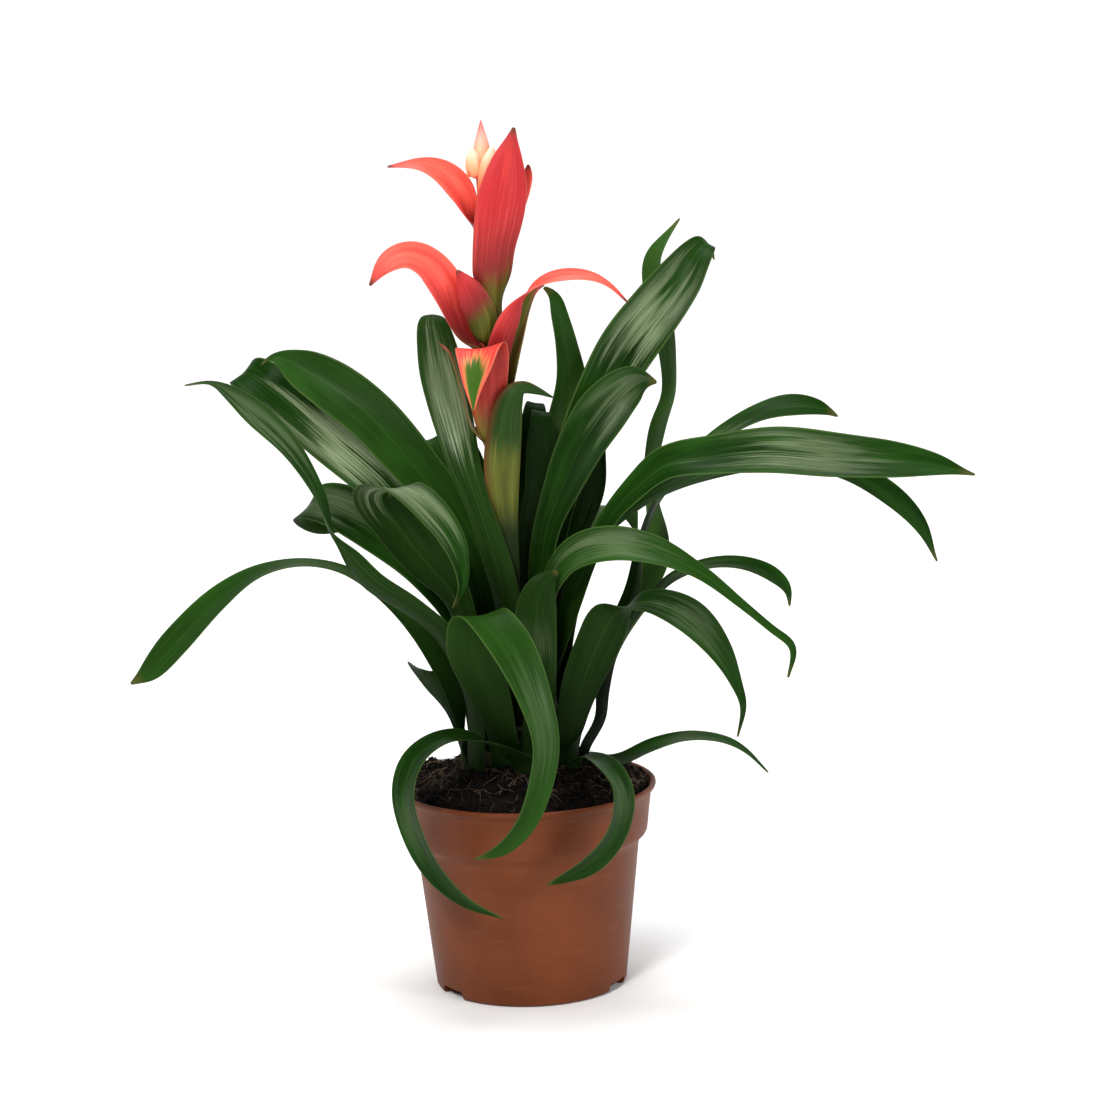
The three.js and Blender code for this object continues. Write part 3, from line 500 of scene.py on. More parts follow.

# %% [markdown]
# ## Where each blade runs
#
# A blade is a strip that leaves its foot upright, then arches, twists or folds. The lists below hold the
# same points as the plain model. A leaf gives its node, the tier of the stem that it stands on, and the
# way it faces, in degrees round the stem. Each row after that is a point on the blade's middle line in
# millimetres, the width there, and how far the blade is turned about its own run, in degrees. A bract
# gives its height on the stalk in place of the tier.

# %% Leaf routes
LEAVES = [
    ["leaf_pot_left", 0, -85, [
      [-9, -40, 127, 14, -42], [-25, -50, 137, 17, -68], [-39, -57, 138, 18, -66], [-52, -64, 130, 19, -64],
      [-57, -70, 115, 20, -57], [-52, -72, 93, 20, -60], [-42, -73, 75, 17, -62], [-28, -73, 61, 10, -60],
      [-12, -73, 53, 1.5, -60]]],
    ["leaf_pot_right", 0, -42, [
      [32, -42, 124, 13, -20], [40, -58, 122, 19, -38], [46, -69, 112, 20, -56], [42, -75, 95, 20, -60],
      [30, -78, 81, 18, -55], [17, -79, 74, 8, -50], [9, -80, 71, 1.5, -50]]],
    ["leaf_low_right", 0, -13, [
      [47, -6, 113, 15, 22], [63, -8, 119.5, 17, 22], [82, -12, 125, 15, 16], [99, -16, 124, 10, 14],
      [109, -18, 119, 5, 18], [120, -20, 108, 1.2, 18]]],
    ["leaf_low_left", 0, 160, [
      [-37, 12, 137, 15, 0], [-46, 16, 149, 18, -5], [-53, 20, 157, 16, 0], [-52, 30, 154, 8, 0],
      [-46, 38, 143, 1.5, 0]]],
    ["leaf_long_left", 0, -168, [
      [-33.1, -7, 141, 14, -40], [-40.2, -11, 162.8, 15, -42], [-53, -16, 185.8, 16, -34],
      [-72.1, -21, 205.8, 17, -16], [-89, -26, 217.2, 17, -2], [-106.9, -31, 221.1, 18, 2],
      [-126.1, -36, 217.6, 19, -3], [-146.5, -41, 204.9, 21, -15], [-166.3, -45, 186.1, 21, -25],
      [-178.7, -47, 173.6, 14, -32], [-188.8, -48, 168.2, 1.5, -32]]],
    ["leaf_twisted_left", 0, -140, [
      [-25, -28, 151, 14, 4], [-37, -35, 183, 17, 12], [-53, -40, 200, 17, 16], [-71, -43, 213, 17, 18],
      [-81, -43, 225, 16, 12], [-90, -42, 238, 15, -22], [-95, -40, 255, 16, -42], [-108, -37, 277, 19, -54],
      [-124, -34, 294, 20, -60], [-137, -32, 306, 14, -54], [-145, -31, 311, 5, -50],
      [-158, -30, 310, 1.2, -50]]],
    ["leaf_broad_upper_left", 3, 165, [
      [-21, 5, 207, 15, -42], [-31, 9, 234, 22, -46], [-53, 16, 263, 26, -50], [-72, 24, 285, 27, -60],
      [-91, 31, 300, 26, -70], [-107, 37, 309, 20, -66], [-117, 41, 314, 9, -52], [-123, 43, 314, 3, -45],
      [-127, 45, 310, 1.2, -45]]],
    ["leaf_broad_left", 2, 160, [
      [-26, 16, 192, 15, -38], [-47, 28, 220, 21, -50], [-69, 40, 248, 26, -50], [-92, 50, 268, 28, -50],
      [-114, 58, 287, 28, -53], [-132, 64, 301, 24, -55], [-139, 74, 303, 18, -55], [-138, 84, 293, 10, -55],
      [-134, 88, 283, 1.5, -55]]],
    ["leaf_folded_left", 1, 175, [
      [-30, 14, 175, 12, -55], [-48, 27, 205, 19, -76], [-73, 42, 225, 25, -78], [-93, 53, 235.5, 26, -74],
      [-107, 61, 235.5, 23, -60], [-109, 69, 228, 14, -35], [-103, 75, 221, 8, -25],
      [-90, 79, 219, 1.5, -25]]],
    ["leaf_folded_front_left", 2, -155, [
      [-31, -18, 199, 16, 40], [-46, -22, 220, 22, 62], [-59, -28, 240, 26, 58], [-66, -35, 254, 28, 58],
      [-56, -48, 259, 27, 74], [-41, -56, 248, 23, 86], [-30, -60, 232, 17, 85], [-27, -61, 214, 8, 78],
      [-32, -60, 203, 1.2, 78]]],
    ["leaf_upright_striped", 4, -150, [
      [-7.9, -14, 197.6, 11, 28], [-13, -15.3, 223.9, 12, 48], [-19.2, -14.4, 245.3, 12.5, 60],
      [-25, -10, 264, 16, 68], [-29, -3, 280.9, 19.5, 71], [-32.5, 1, 296.3, 21.5, 71],
      [-35.4, 3, 311, 22, 68], [-37.9, 4, 325.7, 18.5, 66], [-39.2, 6.5, 333.8, 15, 66],
      [-39.2, 12, 336.7, 10, 70], [-37.2, 20, 331.9, 5, 74], [-36.1, 25, 323.9, 1.2, 74]]],
    ["leaf_tip_left", 2, 113, [
      [-14, 27, 210, 13, -10], [-21, 34, 250, 15, -20], [-29, 38, 272, 12, -30], [-37, 40, 282, 5, -30],
      [-43, 42, 286, 1.2, -30]]],
    ["leaf_top_left", 1, 130, [
      [-24, 36, 204, 14, -15], [-33, 46, 243, 18, -25], [-39, 52, 262, 16, -28], [-43, 58, 269, 11, -30],
      [-43, 66, 262, 6, -30], [-41, 72, 254, 1.2, -30]]],
    ["leaf_upright_right", 3, 75, [
      [12, 25, 231, 12, 12], [23, 36, 274, 17, 22], [28, 42, 296, 17, 34], [26, 44, 316, 13, 42],
      [23, 45, 331, 10, 44], [21, 46, 341, 6, 30], [16, 47, 345, 1.5, 20]]],
    ["leaf_dark_centre", 4, 100, [
      [5, 11, 223, 11, 0], [11, 11, 248, 16, 0], [12, 12, 268, 15, 0], [13, 14, 280, 12, 0],
      [13, 18, 286, 10, 0], [13, 26, 282, 6, 0], [12, 31, 272, 1.2, 0]]],
    ["leaf_behind_centre", 2, 84, [
      [3, 31, 219, 12, 5], [7, 39, 253, 16, 8], [9, 43, 276, 14, 10], [10, 48, 286, 10, 10],
      [10, 56, 284, 6, 10], [9, 61, 276, 1.2, 10]]],
    ["leaf_behind_right", 2, 30, [
      [25, 24, 210, 13, 25], [36, 36, 243, 18, 40], [37, 44, 267, 18, 42], [43, 52, 287, 15, 40],
      [50, 60, 303, 9, 40], [56, 66, 315, 1.2, 40]]],
    ["leaf_tall_right", 3, 38, [
      [18, 14, 221.9, 14, 22], [28.1, 22, 261.2, 20, 45], [41, 33, 288.1, 25, 53], [55.9, 43, 312.1, 29, 55],
      [71.7, 52, 330.9, 28, 54], [85.4, 58, 346.6, 24.5, 42], [94, 62, 358.6, 17.5, 38],
      [99, 70, 362.9, 11, 50], [101.9, 78, 359.1, 4, 55], [103.5, 82, 353.1, 1.2, 55]]],
    ["leaf_broad_right", 4, 20, [
      [13, 4, 222, 12, 40], [24, 7, 253, 20, 58], [33, 10, 271, 24, 62], [43, 12, 285.5, 26, 64],
      [53, 14, 296, 22, 68], [60, 19, 300, 16, 78], [66, 24, 299.5, 8, 80], [71, 25, 298, 1.2, 80]]],
    ["leaf_wavy_right", 0, 20, [
      [39, 15, 130, 14, 0], [41, 17, 144, 16, 0], [45, 20, 159, 17, 2], [54, 24, 176, 18, 8],
      [63, 28, 193, 18, 15], [70, 32, 207, 18, 17], [72, 36, 219, 17, 8], [69, 42, 236, 16, 2],
      [68, 50, 250, 16, 3], [73, 58, 270, 16, 6], [80, 64, 287, 17, 5], [79, 68, 309, 18, 12],
      [75, 72, 334, 18, 14], [73, 70, 354, 15, 12], [78, 68, 365, 9, 5], [86, 68, 376, 1.2, 0]]],
    ["leaf_horizontal_right", 2, -32, [
      [15, -19, 157, 12, 45], [19.5, -21, 178, 14, 62], [27.5, -21, 201, 15, 68], [37, -20, 222, 16, 64],
      [47, -19, 240, 17, 59], [60, -19, 253, 20, 59], [73, -20, 262.5, 23, 64], [94, -23, 266.5, 25, 70],
      [123, -27, 269, 26, 76], [152, -30, 266, 26, 77], [180, -33, 264, 22, 74], [202, -35, 261, 13, 70],
      [221, -37, 256.5, 1.2, 70]]],
    ["leaf_hooked_right", 1, 5, [
      [34, 6, 147, 13, 10], [46, 9, 174, 15, 20], [57, 10, 196, 15, 22], [62, 10, 220, 14, 12],
      [69, 11, 239, 13, 8], [83, 13, 256, 14, 10], [102, 17, 271, 17, 18], [122, 21, 281, 18, 26],
      [139, 24, 284, 17, 38], [153, 26, 282, 10, 44], [161, 27, 278, 1.2, 44]]],
    ["leaf_hanging_right", 3, -18, [
      [17, -4, 195, 13, 15], [28, -5, 215, 15, 25], [43, -6, 229, 15, 30], [63, -7, 243.5, 15, 31],
      [90, -7, 254.5, 17, 34], [124, -6, 261, 17, 42], [159, -5, 256, 17, 50], [183, -3, 242, 16, 57],
      [198, -2, 226, 11, 60], [206.5, -1, 208, 1.2, 60]]],
    ["leaf_arch_front_right", 3, -58, [
      [11.1, -20, 178.2, 12, 50], [14.8, -26, 204.2, 15, 85], [25.9, -34, 222.1, 18, 88],
      [43.8, -42, 228.4, 19, 84], [66.1, -49, 225.5, 16, 73], [86.7, -54, 215.6, 9.5, 60],
      [104.8, -58, 201.2, 6.5, 55], [120.2, -61, 188.2, 5.5, 55], [129.9, -63, 180, 4.5, 70],
      [127.2, -64, 165.2, 1.2, 75]]],
    ["leaf_small_right", 1, -26, [
      [34, -11, 149, 12, 10], [50, -9, 174, 13, 26], [64, -8, 193.5, 13, 34], [75, -7, 204, 13, 38],
      [92, -6, 210, 14, 40], [109, -5, 210, 15, 48], [124, -4, 204.5, 13, 62], [132, -3, 197, 7, 72],
      [133, -3, 188, 1.2, 75]]],
    ["leaf_bent_right", 1, -53, [
      [22, -32, 133, 13, -14], [28, -34, 156, 19, -32], [37, -37, 178, 22, -42], [45, -40, 193, 22, -20],
      [54, -44, 199, 18, 40], [65, -50, 201, 18, 56], [81, -60, 195, 19, 62], [94, -67, 180, 15, 50],
      [102, -71, 164, 8, 42], [105, -72, 154, 5, 38], [102, -73, 139, 1.2, 38]]],
    ["leaf_front_centre", 1, -80, [
      [8.8, -33, 151.1, 15, 4], [7.6, -37, 175.9, 20, -4], [7.7, -39, 194.5, 20.5, -6],
      [10.4, -39.5, 206.9, 16, -6], [15.5, -38, 213.3, 7.5, -8], [18.9, -36, 215.3, 1.2, -8]]],
    ["leaf_front_arch", 1, -112, [
      [-11, -36, 135, 15, 6], [-17, -44, 159, 21, 26], [-23, -53, 181, 25, 36], [-19, -64, 200, 26, 48],
      [-6, -77, 188, 24, 60], [5, -84, 163, 21, 52], [10, -88, 142, 17, 50], [7, -90, 123, 14, 56],
      [-1, -89, 103, 12, 60], [-12, -87, 91, 8, 70], [-25, -85, 86, 1.2, 70]]],
    ["leaf_back_low", 0, 72, [
      [12, 46, 136, 14, 0], [15, 72, 148, 16, 0], [17, 98, 134, 15, 0], [18, 114, 104, 9, 0],
      [19, 118, 80, 1.2, 0]]],
    ["leaf_back_droop", 0, 105, [
      [-11, 46, 146, 15, 0], [-16, 74, 164, 18, 0], [-20, 104, 152, 16, 0], [-22, 124, 120, 10, 0],
      [-23, 130, 92, 1.2, 0]]],
    ["leaf_back_left", 0, 134, [
      [-28, 32, 165, 14, 0], [-38, 52, 205, 19, 0], [-52, 74, 230, 20, 0], [-63, 94, 230, 13, 0],
      [-70, 108, 220, 1.2, 0]]],
    ["leaf_back_middle", 1, 85, [
      [4, 44, 170, 15, 0], [8, 66, 208, 18, 0], [12, 92, 220, 17, 0], [15, 118, 204, 11, 0],
      [17, 132, 180, 1.2, 0]]],
    ["leaf_back_tall", 1, 48, [
      [22, 34, 170, 14, 0], [34, 56, 208, 18, 0], [46, 80, 226, 18, 0], [56, 102, 222, 12, 0],
      [62, 116, 206, 1.2, 0]]],
    ["leaf_back_broad", 1, 107, [
      [-10, 42, 175, 13, 0], [-14, 60, 211, 17, 0], [-19, 84, 228, 18, 0], [-23, 106, 216, 11, 0],
      [-26, 120, 192, 1.2, 0]]],
    ["leaf_back_side", 0, 45, [
      [28, 38, 138, 14, 0], [33, 60, 158, 16, 0], [38, 84, 163, 16, 0], [43, 104, 150, 10, 0],
      [45, 114, 130, 1.2, 0]]],
]
print("leaves:", len(LEAVES))

# %% Bract routes
BRACTS = [
    ["bract_leaf_front", 172, -95, [
      [-5.2, -9.3, 202, 10.5, 2], [-6.2, -10.6, 237, 13, 4], [-7, -12, 262, 18, 6], [-5, -14, 282, 17, 4],
      [-2, -16, 296, 13, 0], [3, -15, 303, 8, 0], [10, -11, 301, 5, 10], [19, -6, 296, 1, 10]]],
    ["bract_front_folded", 258, -98, [
      [-13.8, -10, 285, 12, 4], [-13.4, -11, 296, 17, 6], [-13.4, -12, 308, 22, 6],
      [-14.2, -14, 318.5, 25, 4], [-15.6, -19.5, 323, 25, 2], [-17, -24, 317, 20, 0],
      [-18.9, -25, 305.6, 11, 0], [-19.6, -25, 292.5, 1.2, 0]]],
    ["bract_narrow_left", 266, -172, [
      [-21.2, -7.5, 282, 4, -12], [-25.5, -11, 300, 7.5, -18], [-29, -11.5, 314, 6.5, -20],
      [-31.5, -11.5, 321, 4, -20], [-36, -11.5, 325, 1, -20]]],
    ["bract_right_back", 285, 10, [
      [0, 1, 306, 9, 15], [3.5, 1, 323.5, 11, 18], [8, 2, 340.5, 9, 20], [13, 3, 349, 5, 20],
      [16.5, 4, 350, 1.2, 20]]],
    ["bract_right_arch", 296, -35, [
      [-7.2, -6.6, 310.3, 12, -40], [-6, -9.4, 320.7, 12.5, -44], [-3.2, -12.2, 329.6, 12, -42],
      [0.6, -13, 337.4, 11.5, -30], [5.3, -12.6, 344.6, 10, 6], [14.3, -12.2, 352.6, 8, 48],
      [25.5, -12, 355.7, 8, 70], [38.5, -12.5, 354.9, 7, 66], [47.6, -12.5, 350.7, 4, 62],
      [56.6, -12.5, 341.8, 1.2, 62]]],
    ["bract_middle_front", 319, -100, [
      [-13.8, -8.4, 324.4, 14.5, 12], [-14.3, -11.4, 335, 16, 12], [-17.6, -12.8, 344.9, 15, 20],
      [-21.5, -13, 353.3, 10.5, 25], [-25.6, -12.5, 360.1, 1.5, 30]]],
    ["bract_middle_left", 311, 198, [
      [-23.1, -2.2, 325, 11, -50], [-27.7, -5.6, 337.7, 16, -64], [-31.8, -9, 351.8, 18.5, -78],
      [-40.5, -10, 364.2, 16.5, -79], [-50, -11, 368, 14, -81], [-59.8, -12, 364, 10.5, -82],
      [-68.1, -13, 353.7, 1.2, -82]]],
    ["bract_front_upright", 332, -88, [
      [-9.3, -6.5, 343.1, 15, 4], [-8.7, -8.2, 353, 19, 6], [-7.2, -11, 369.1, 21, 8],
      [-4, -12.6, 385, 24.5, 8], [-1.2, -12.8, 398.4, 24, 10], [1.1, -11.8, 412.6, 15.5, 10],
      [4, -10.5, 427.8, 1.5, 10]]],
    ["bract_right_crumpled", 348, 0, [
      [-1.3, 1.5, 367.9, 10, 20], [2.4, 2, 379.9, 14, 30], [6.8, 3, 391.2, 14.5, 38],
      [8.8, 3.6, 398.6, 12, 42], [9.8, 4, 404.6, 8, 46], [10.4, 4.4, 409, 1.2, 46]]],
    ["bract_upper_left", 372, 190, [
      [-19.8, -4.4, 386.8, 11, -52], [-23.3, -4.6, 397.6, 15.5, -66], [-31, -5.2, 406.2, 14, -64],
      [-40.9, -6, 410.7, 8.5, -56], [-49.6, -6, 410.9, 4.5, -48], [-57.8, -6, 410.2, 1.2, -46]]],
    ["bract_back_low", 292, 100, [
      [-11, 9, 312, 13, 0], [-12, 14, 330, 14, 0], [-13, 24, 343, 11, 0], [-14, 34, 344, 1.2, 0]]],
    ["bract_back_high", 340, 85, [
      [-9, 8, 360, 14, 0], [-8, 12, 380, 17, 0], [-7, 18, 395, 12, 0], [-6, 25, 401, 1.2, 0]]],
    ["head_bract_left", 403, 236, [
      [-14.4, -7.4, 403.7, 6, 22], [-15.4, -7.3, 410, 8.5, 26], [-17.4, -5.8, 419, 1.2, 32]]],
    ["head_bract_right", 390, -33, [
      [-7, -4, 402.5, 9, -28], [-6, -3, 409, 7, -28], [-6.2, -2, 413.5, 1.2, -28]]],
    ["head_bract_front", 384, -88, [
      [-10.3, -8.8, 395.5, 9, 0], [-9.2, -9.6, 405, 10.5, 0], [-7.6, -8.8, 413, 7.5, 0],
      [-6.8, -7.8, 419, 1.2, 0]]],
    ["head_bract_back", 389, 75, [
      [-10, 6.8, 401, 8, 0], [-10, 7.6, 410, 7, 0], [-10.4, 6.8, 418, 1.2, 0]]],
]
print("bracts:", len(BRACTS))

# %% [markdown]
# ## From route to strip
#
# The strip's middle line is a smooth curve through the points. Its direction across is carried along the
# curve without spinning, and then turned by the route's own turn. This is how a ribbon keeps its face
# when it is bent by hand.

# %% Curve helpers
def curve_point(points, part):
    """A point of a smooth curve through all the points, at a part from 0 to 1 of its spans."""
    spans = len(points) - 1
    index = min(int(part * spans), spans - 1)
    weight = part * spans - index
    p1, p2 = points[index], points[index + 1]
    p0 = points[index - 1] if index else 2 * points[0] - points[1]
    p3 = points[index + 2] if index + 2 <= spans else 2 * points[-1] - points[-2]
    t0, t1, t2 = ((b - a).length ** 0.5 for a, b in ((p0, p1), (p1, p2), (p2, p3)))
    m1 = ((p1 - p0) / t0 - (p2 - p0) / (t0 + t1) + (p2 - p1) / t1) * t1
    m2 = ((p2 - p1) / t1 - (p3 - p1) / (t1 + t2) + (p3 - p2) / t2) * t1
    cubic = 2 * p1 - 2 * p2 + m1 + m2
    square = -3 * p1 + 3 * p2 - 2 * m1 - m2
    return p1 + m1 * weight + square * weight ** 2 + cubic * weight ** 3


def curve_number(values, part):
    """The same for plain numbers, with even spans."""
    spans = len(values) - 1
    index = min(int(part * spans), spans - 1)
    weight = part * spans - index
    v0, v1 = values[max(index - 1, 0)], values[index]
    v2, v3 = values[index + 1], values[min(index + 2, spans)]
    start, end = (v2 - v0) / 2, (v3 - v1) / 2
    cubic = 2 * v1 - 2 * v2 + start + end
    return cubic * weight ** 3 + (-3 * v1 + 3 * v2 - 2 * start - end) * weight ** 2 + start * weight + v1


print("curve helpers ready")

# %% Run of a blade
SAMPLES_PER_SPAN = 12
LOOK_AROUND = 1e-4
FEWEST_ROWS = 12


def blade_run(foot, azimuth, route, shape):
    """Samples along a blade in millimetres: place, direction, across, width and distance from the foot."""
    angle = math.radians(azimuth)
    lead = foot + on_circle(1.0, angle, shape["lead"])
    points = [foot, lead] + [Vector(row[:3]) for row in route]
    first = min(shape["base"], route[0][3])
    widths = [first, first] + [row[3] for row in route]
    turns = [0, 0] + [row[4] for row in route]
    across = Vector((-math.sin(angle), math.cos(angle), 0.0))
    count = (len(points) - 1) * SAMPLES_PER_SPAN
    samples = []
    distance = 0.0
    for step in range(count + 1):
        part = step / count
        at = curve_point(points, part)
        ahead = (curve_point(points, min(part + LOOK_AROUND, 1.0))
                 - curve_point(points, max(part - LOOK_AROUND, 0.0)))
        along = ahead.normalized() if step else Vector((0.0, 0.0, 1.0))
        across = (across - across.dot(along) * along).normalized()
        turned = Matrix.Rotation(math.radians(curve_number(turns, part)), 3, along) @ across
        distance += (at - samples[-1]["at"]).length if samples else 0.0
        samples.append({"at": at, "along": along, "across": turned, "distance": distance,
                        "width": max(curve_number(widths, part), 1.0)})
    return samples


def resample(samples, step_length):
    """The same run at even distances."""
    total = samples[-1]["distance"]
    rows = max(int(total / step_length), FEWEST_ROWS)
    result = []
    index = 0
    for row in range(rows + 1):
        goal = total * row / rows
        while index < len(samples) - 2 and samples[index + 1]["distance"] < goal:
            index += 1
        a, b = samples[index], samples[index + 1]
        part = (goal - a["distance"]) / max(b["distance"] - a["distance"], 1e-6)
        mixed = {key: mix(a[key], b[key], part) for key in a}
        mixed["across"].normalize()
        mixed["along"].normalize()
        result.append(mixed)
    return result


print("blade runs ready")

# %% [markdown]
# ## Shaping one blade
#
# Each blade starts as a flat grid. Its rows are laid along the run, its cross-section is a shallow
# channel, and its foot widens into a sheath that hugs the stem. A small waviness keeps the margins from
# being ruler straight. Solidify then gives the strip its thickness, thinner at the margins, and a
# subdivision rounds it off. The face that looks down is remembered for the finish.

# %% One point of a blade
RIPPLE_LENGTH = 11.0
RIPPLE_FROM, RIPPLE_FULL = 20.0, 60.0
RIPPLE_WIDTH = 12.0
TAPER_LENGTH = 12.0
SHEATH_START = 0.3
FLATTEST = 1e-4


def blade_point(row, side, shape, sheath, total, wave, shift):
    """Where a point of the strip lies, in millimetres. Side runs from -1 to 1 across the blade."""
    distance, width, radius = row["distance"], row["width"], sheath["radius"]
    hug = 1.0 - smoothstep(SHEATH_START * sheath["reach"], sheath["reach"], distance)
    taper = smoothstep(0.0, TAPER_LENGTH, total - distance)
    wide = width + hug * taper * max(sheath["width"] - width, 0.0)
    channel = shape["channel"] * width * (0.4 * abs(side) + 0.6 * side * side) * (1.0 - hug)
    bend = side * wide / 2.0 * max(hug, FLATTEST) / radius
    out = radius / max(hug, FLATTEST) * math.sin(bend)
    wrap = radius / max(hug, FLATTEST) * (1.0 - math.cos(bend))
    ripple = wave * side * side * math.sin(distance / RIPPLE_LENGTH + shift + 0.8 * side)
    ripple *= smoothstep(RIPPLE_FROM, RIPPLE_FULL, distance) * smoothstep(0.0, RIPPLE_WIDTH, width)
    face = row["along"].cross(row["across"])
    return row["at"] + row["across"] * out + face * (channel + wrap + ripple)


print("blade points ready")

# %% Blade builder
COLUMNS = 8
ROW_LENGTH = 4.2
MARGIN_FLESH = 0.45
MAP_UNIT = 100.0
DEFAULT_WAVE = 0.35
WAVES = {"leaf_wavy_right": 1.1, "bract_right_crumpled": 2.4, "bract_front_upright": 0.7,
         "leaf_horizontal_right": 0.8, "bract_middle_left": 0.8, "bract_right_arch": 0.6}


def blade_piece(name, foot, azimuth, route, shape, sheath, material, slot, values):
    rows = resample(blade_run(foot, azimuth, route, shape), ROW_LENGTH)
    clear_selection()
    bpy.ops.mesh.primitive_grid_add(x_subdivisions=COLUMNS, y_subdivisions=len(rows) - 1, size=1.0)
    piece = new_piece(name)
    mesh = piece.data
    total = rows[-1]["distance"]
    shift = random.Random(name).uniform(0.0, 6.0)
    wave = WAVES.get(name, DEFAULT_WAVE)
    flesh = piece.vertex_groups.new(name="flesh")
    where = []
    for vertex in mesh.vertices:
        side = round((vertex.co.x + 0.5) * COLUMNS) / COLUMNS * 2.0 - 1.0
        row = rows[round((vertex.co.y + 0.5) * (len(rows) - 1))]
        where.append((side, row["distance"]))
        vertex.co = blade_point(row, side, shape, sheath, total, wave, shift) * MM
        flesh.add([vertex.index], mix(1.0, MARGIN_FLESH, side * side), "REPLACE")
    layer = mesh.uv_layers.active.data
    for loop in mesh.loops:
        side, distance = where[loop.vertex_index]
        layer[loop.index].uv = (side / 2.0 + 0.5, distance / MAP_UNIT)
    mesh.materials.append(None)
    mesh.materials.append(None)
    add_modifier(piece, "SOLIDIFY", thickness=shape["flesh"] * MM, offset=0.0, use_rim=True,
                 use_even_offset=False, vertex_group="flesh", thickness_vertex_group=0.1,
                 material_offset=1, material_offset_rim=0)
    faces = len(mesh.polygons)
    keep_values(mesh, "under", [float(face.material_index == 0) for face in mesh.polygons], "FACE")
    add_modifier(piece, "SUBSURF", levels=1, render_levels=1)
    mesh = piece.data
    mesh.polygons.foreach_set("material_index", [0] * len(mesh.polygons))
    runs = [0.0] * len(mesh.vertices)
    uvs = mesh.uv_layers.active.data
    for loop in mesh.loops:
        runs[loop.vertex_index] = uvs[loop.index].uv[1] * MAP_UNIT / total
    keep_values(mesh, "run", runs)
    for key, value in values.items():
        keep_values(mesh, key, [value] * len(runs))
    finish_piece(piece, slot, material, name)
    return faces


print("blade builder ready")

# %% [markdown]
# ## The rosette
#
# The leaves stand on the stem in tiers, the lowest outside. Each gets its own tone from its name, so the
# rosette is not one flat colour. The tables say which leaves get a painted highlight and how far up it
# lies, which are darkened with painted shade, and which are lightened with painted light.

# %% Values of the leaves
TIER_RADII = (31, 26, 21, 16, 11)
TIER_LOW = 108
TIER_RISE = 6
GAP = 0.3
LEAF_SHAPE = {"channel": 0.1, "base": 9, "lead": 7, "flesh": 1.0}
SHEATH_REACH = (42.0, 55.0, 75.0, 95.0, 125.0)
SHEATH_WIDTH = (13.0, 16.0, 18.0, 20.0, 19.0)
# Painted highlight: how strong each leaf's pale patch is, and (next table) where along its run it lies.
PAINTED_HIGHLIGHT = {"leaf_broad_left": 1.15, "leaf_upright_striped": 0.8, "leaf_tall_right": 0.75,
         "leaf_broad_right": 0.4, "leaf_folded_front_left": 0.75, "leaf_folded_left": 0.35,
         "leaf_horizontal_right": 0.5, "leaf_arch_front_right": 0.4, "leaf_bent_right": 0.25,
         "leaf_front_arch": 0.2, "leaf_twisted_left": 0.3, "leaf_hooked_right": 0.4,
         "leaf_broad_upper_left": 0.0, "leaf_long_left": 0.1}
PAINTED_HIGHLIGHT_AT = {"leaf_broad_left": 0.66, "leaf_upright_striped": 0.74, "leaf_tall_right": 0.77,
            "leaf_broad_right": 0.86, "leaf_folded_front_left": 0.74, "leaf_folded_left": 0.78,
            "leaf_horizontal_right": 0.74, "leaf_twisted_left": 0.84, "leaf_bent_right": 0.70}
# Painted shade above 0 darkens leaves in the shade of others; painted light below 0 lightens a leaf.
SHADE = {"leaf_dark_centre": 0.85, "leaf_behind_centre": 0.8, "leaf_behind_right": 0.6,
         "leaf_front_centre": 0.35, "leaf_broad_right": 0.3, "leaf_bent_right": 0.35,
         "leaf_tip_left": 0.3, "leaf_low_left": 0.2, "leaf_wavy_right": -1.0,
         "leaf_long_left": -0.2, "leaf_broad_upper_left": -0.2, "leaf_front_arch": -0.25,
         "leaf_arch_front_right": -0.2, "leaf_upright_right": -0.3}
print("leaves with a value of their own:", len({*PAINTED_HIGHLIGHT, *PAINTED_HIGHLIGHT_AT, *SHADE}))

# %% Leaves
made_faces = 0
for name, tier, azimuth, route in LEAVES:
    foot = on_circle(TIER_RADII[tier], math.radians(azimuth), TIER_LOW + tier * TIER_RISE + GAP)
    sheath = {"reach": SHEATH_REACH[tier], "width": SHEATH_WIDTH[tier], "radius": TIER_RADII[tier] + 0.5}
    chance = random.Random(name + " shade")
    made_faces += blade_piece(name, foot, azimuth, route, LEAF_SHAPE, sheath, leaf_finish, "leaf", {
        "tone": chance.uniform(-1.0, 1.0), "painted_highlight": PAINTED_HIGHLIGHT.get(name, 0.15),
        "painted_highlight_at": PAINTED_HIGHLIGHT_AT.get(name, chance.uniform(0.5, 0.7)), "shade": SHADE.get(name, 0.0)})
print("leaf faces before smoothing:", made_faces)

# %% [markdown]
# ## The flower's bracts
#
# The bracts stand round the stalk in the same way, with their feet on its surface. The stalk leans to the
# left and tapers. The lower bracts are greener, and the ones that catch the light are painted more coral
# as painted light.

# %% Line of the stalk
STALK_FOOT_X = -2
STALK_LEAN = 0.037
STALK_FOOT = TIER_LOW + 4 * TIER_RISE + GAP + 0.2
STALK_TOP = 404
STALK_RADII = (4.5, 3.4)


def stalk_x(height):
    return STALK_FOOT_X - STALK_LEAN * (height - STALK_FOOT)


def stalk_radius(height):
    return mix(*STALK_RADII, (height - STALK_FOOT) / (STALK_TOP - STALK_FOOT))


print("stalk radius half way up:", round(stalk_radius((STALK_FOOT + STALK_TOP) / 2), 2), "mm")

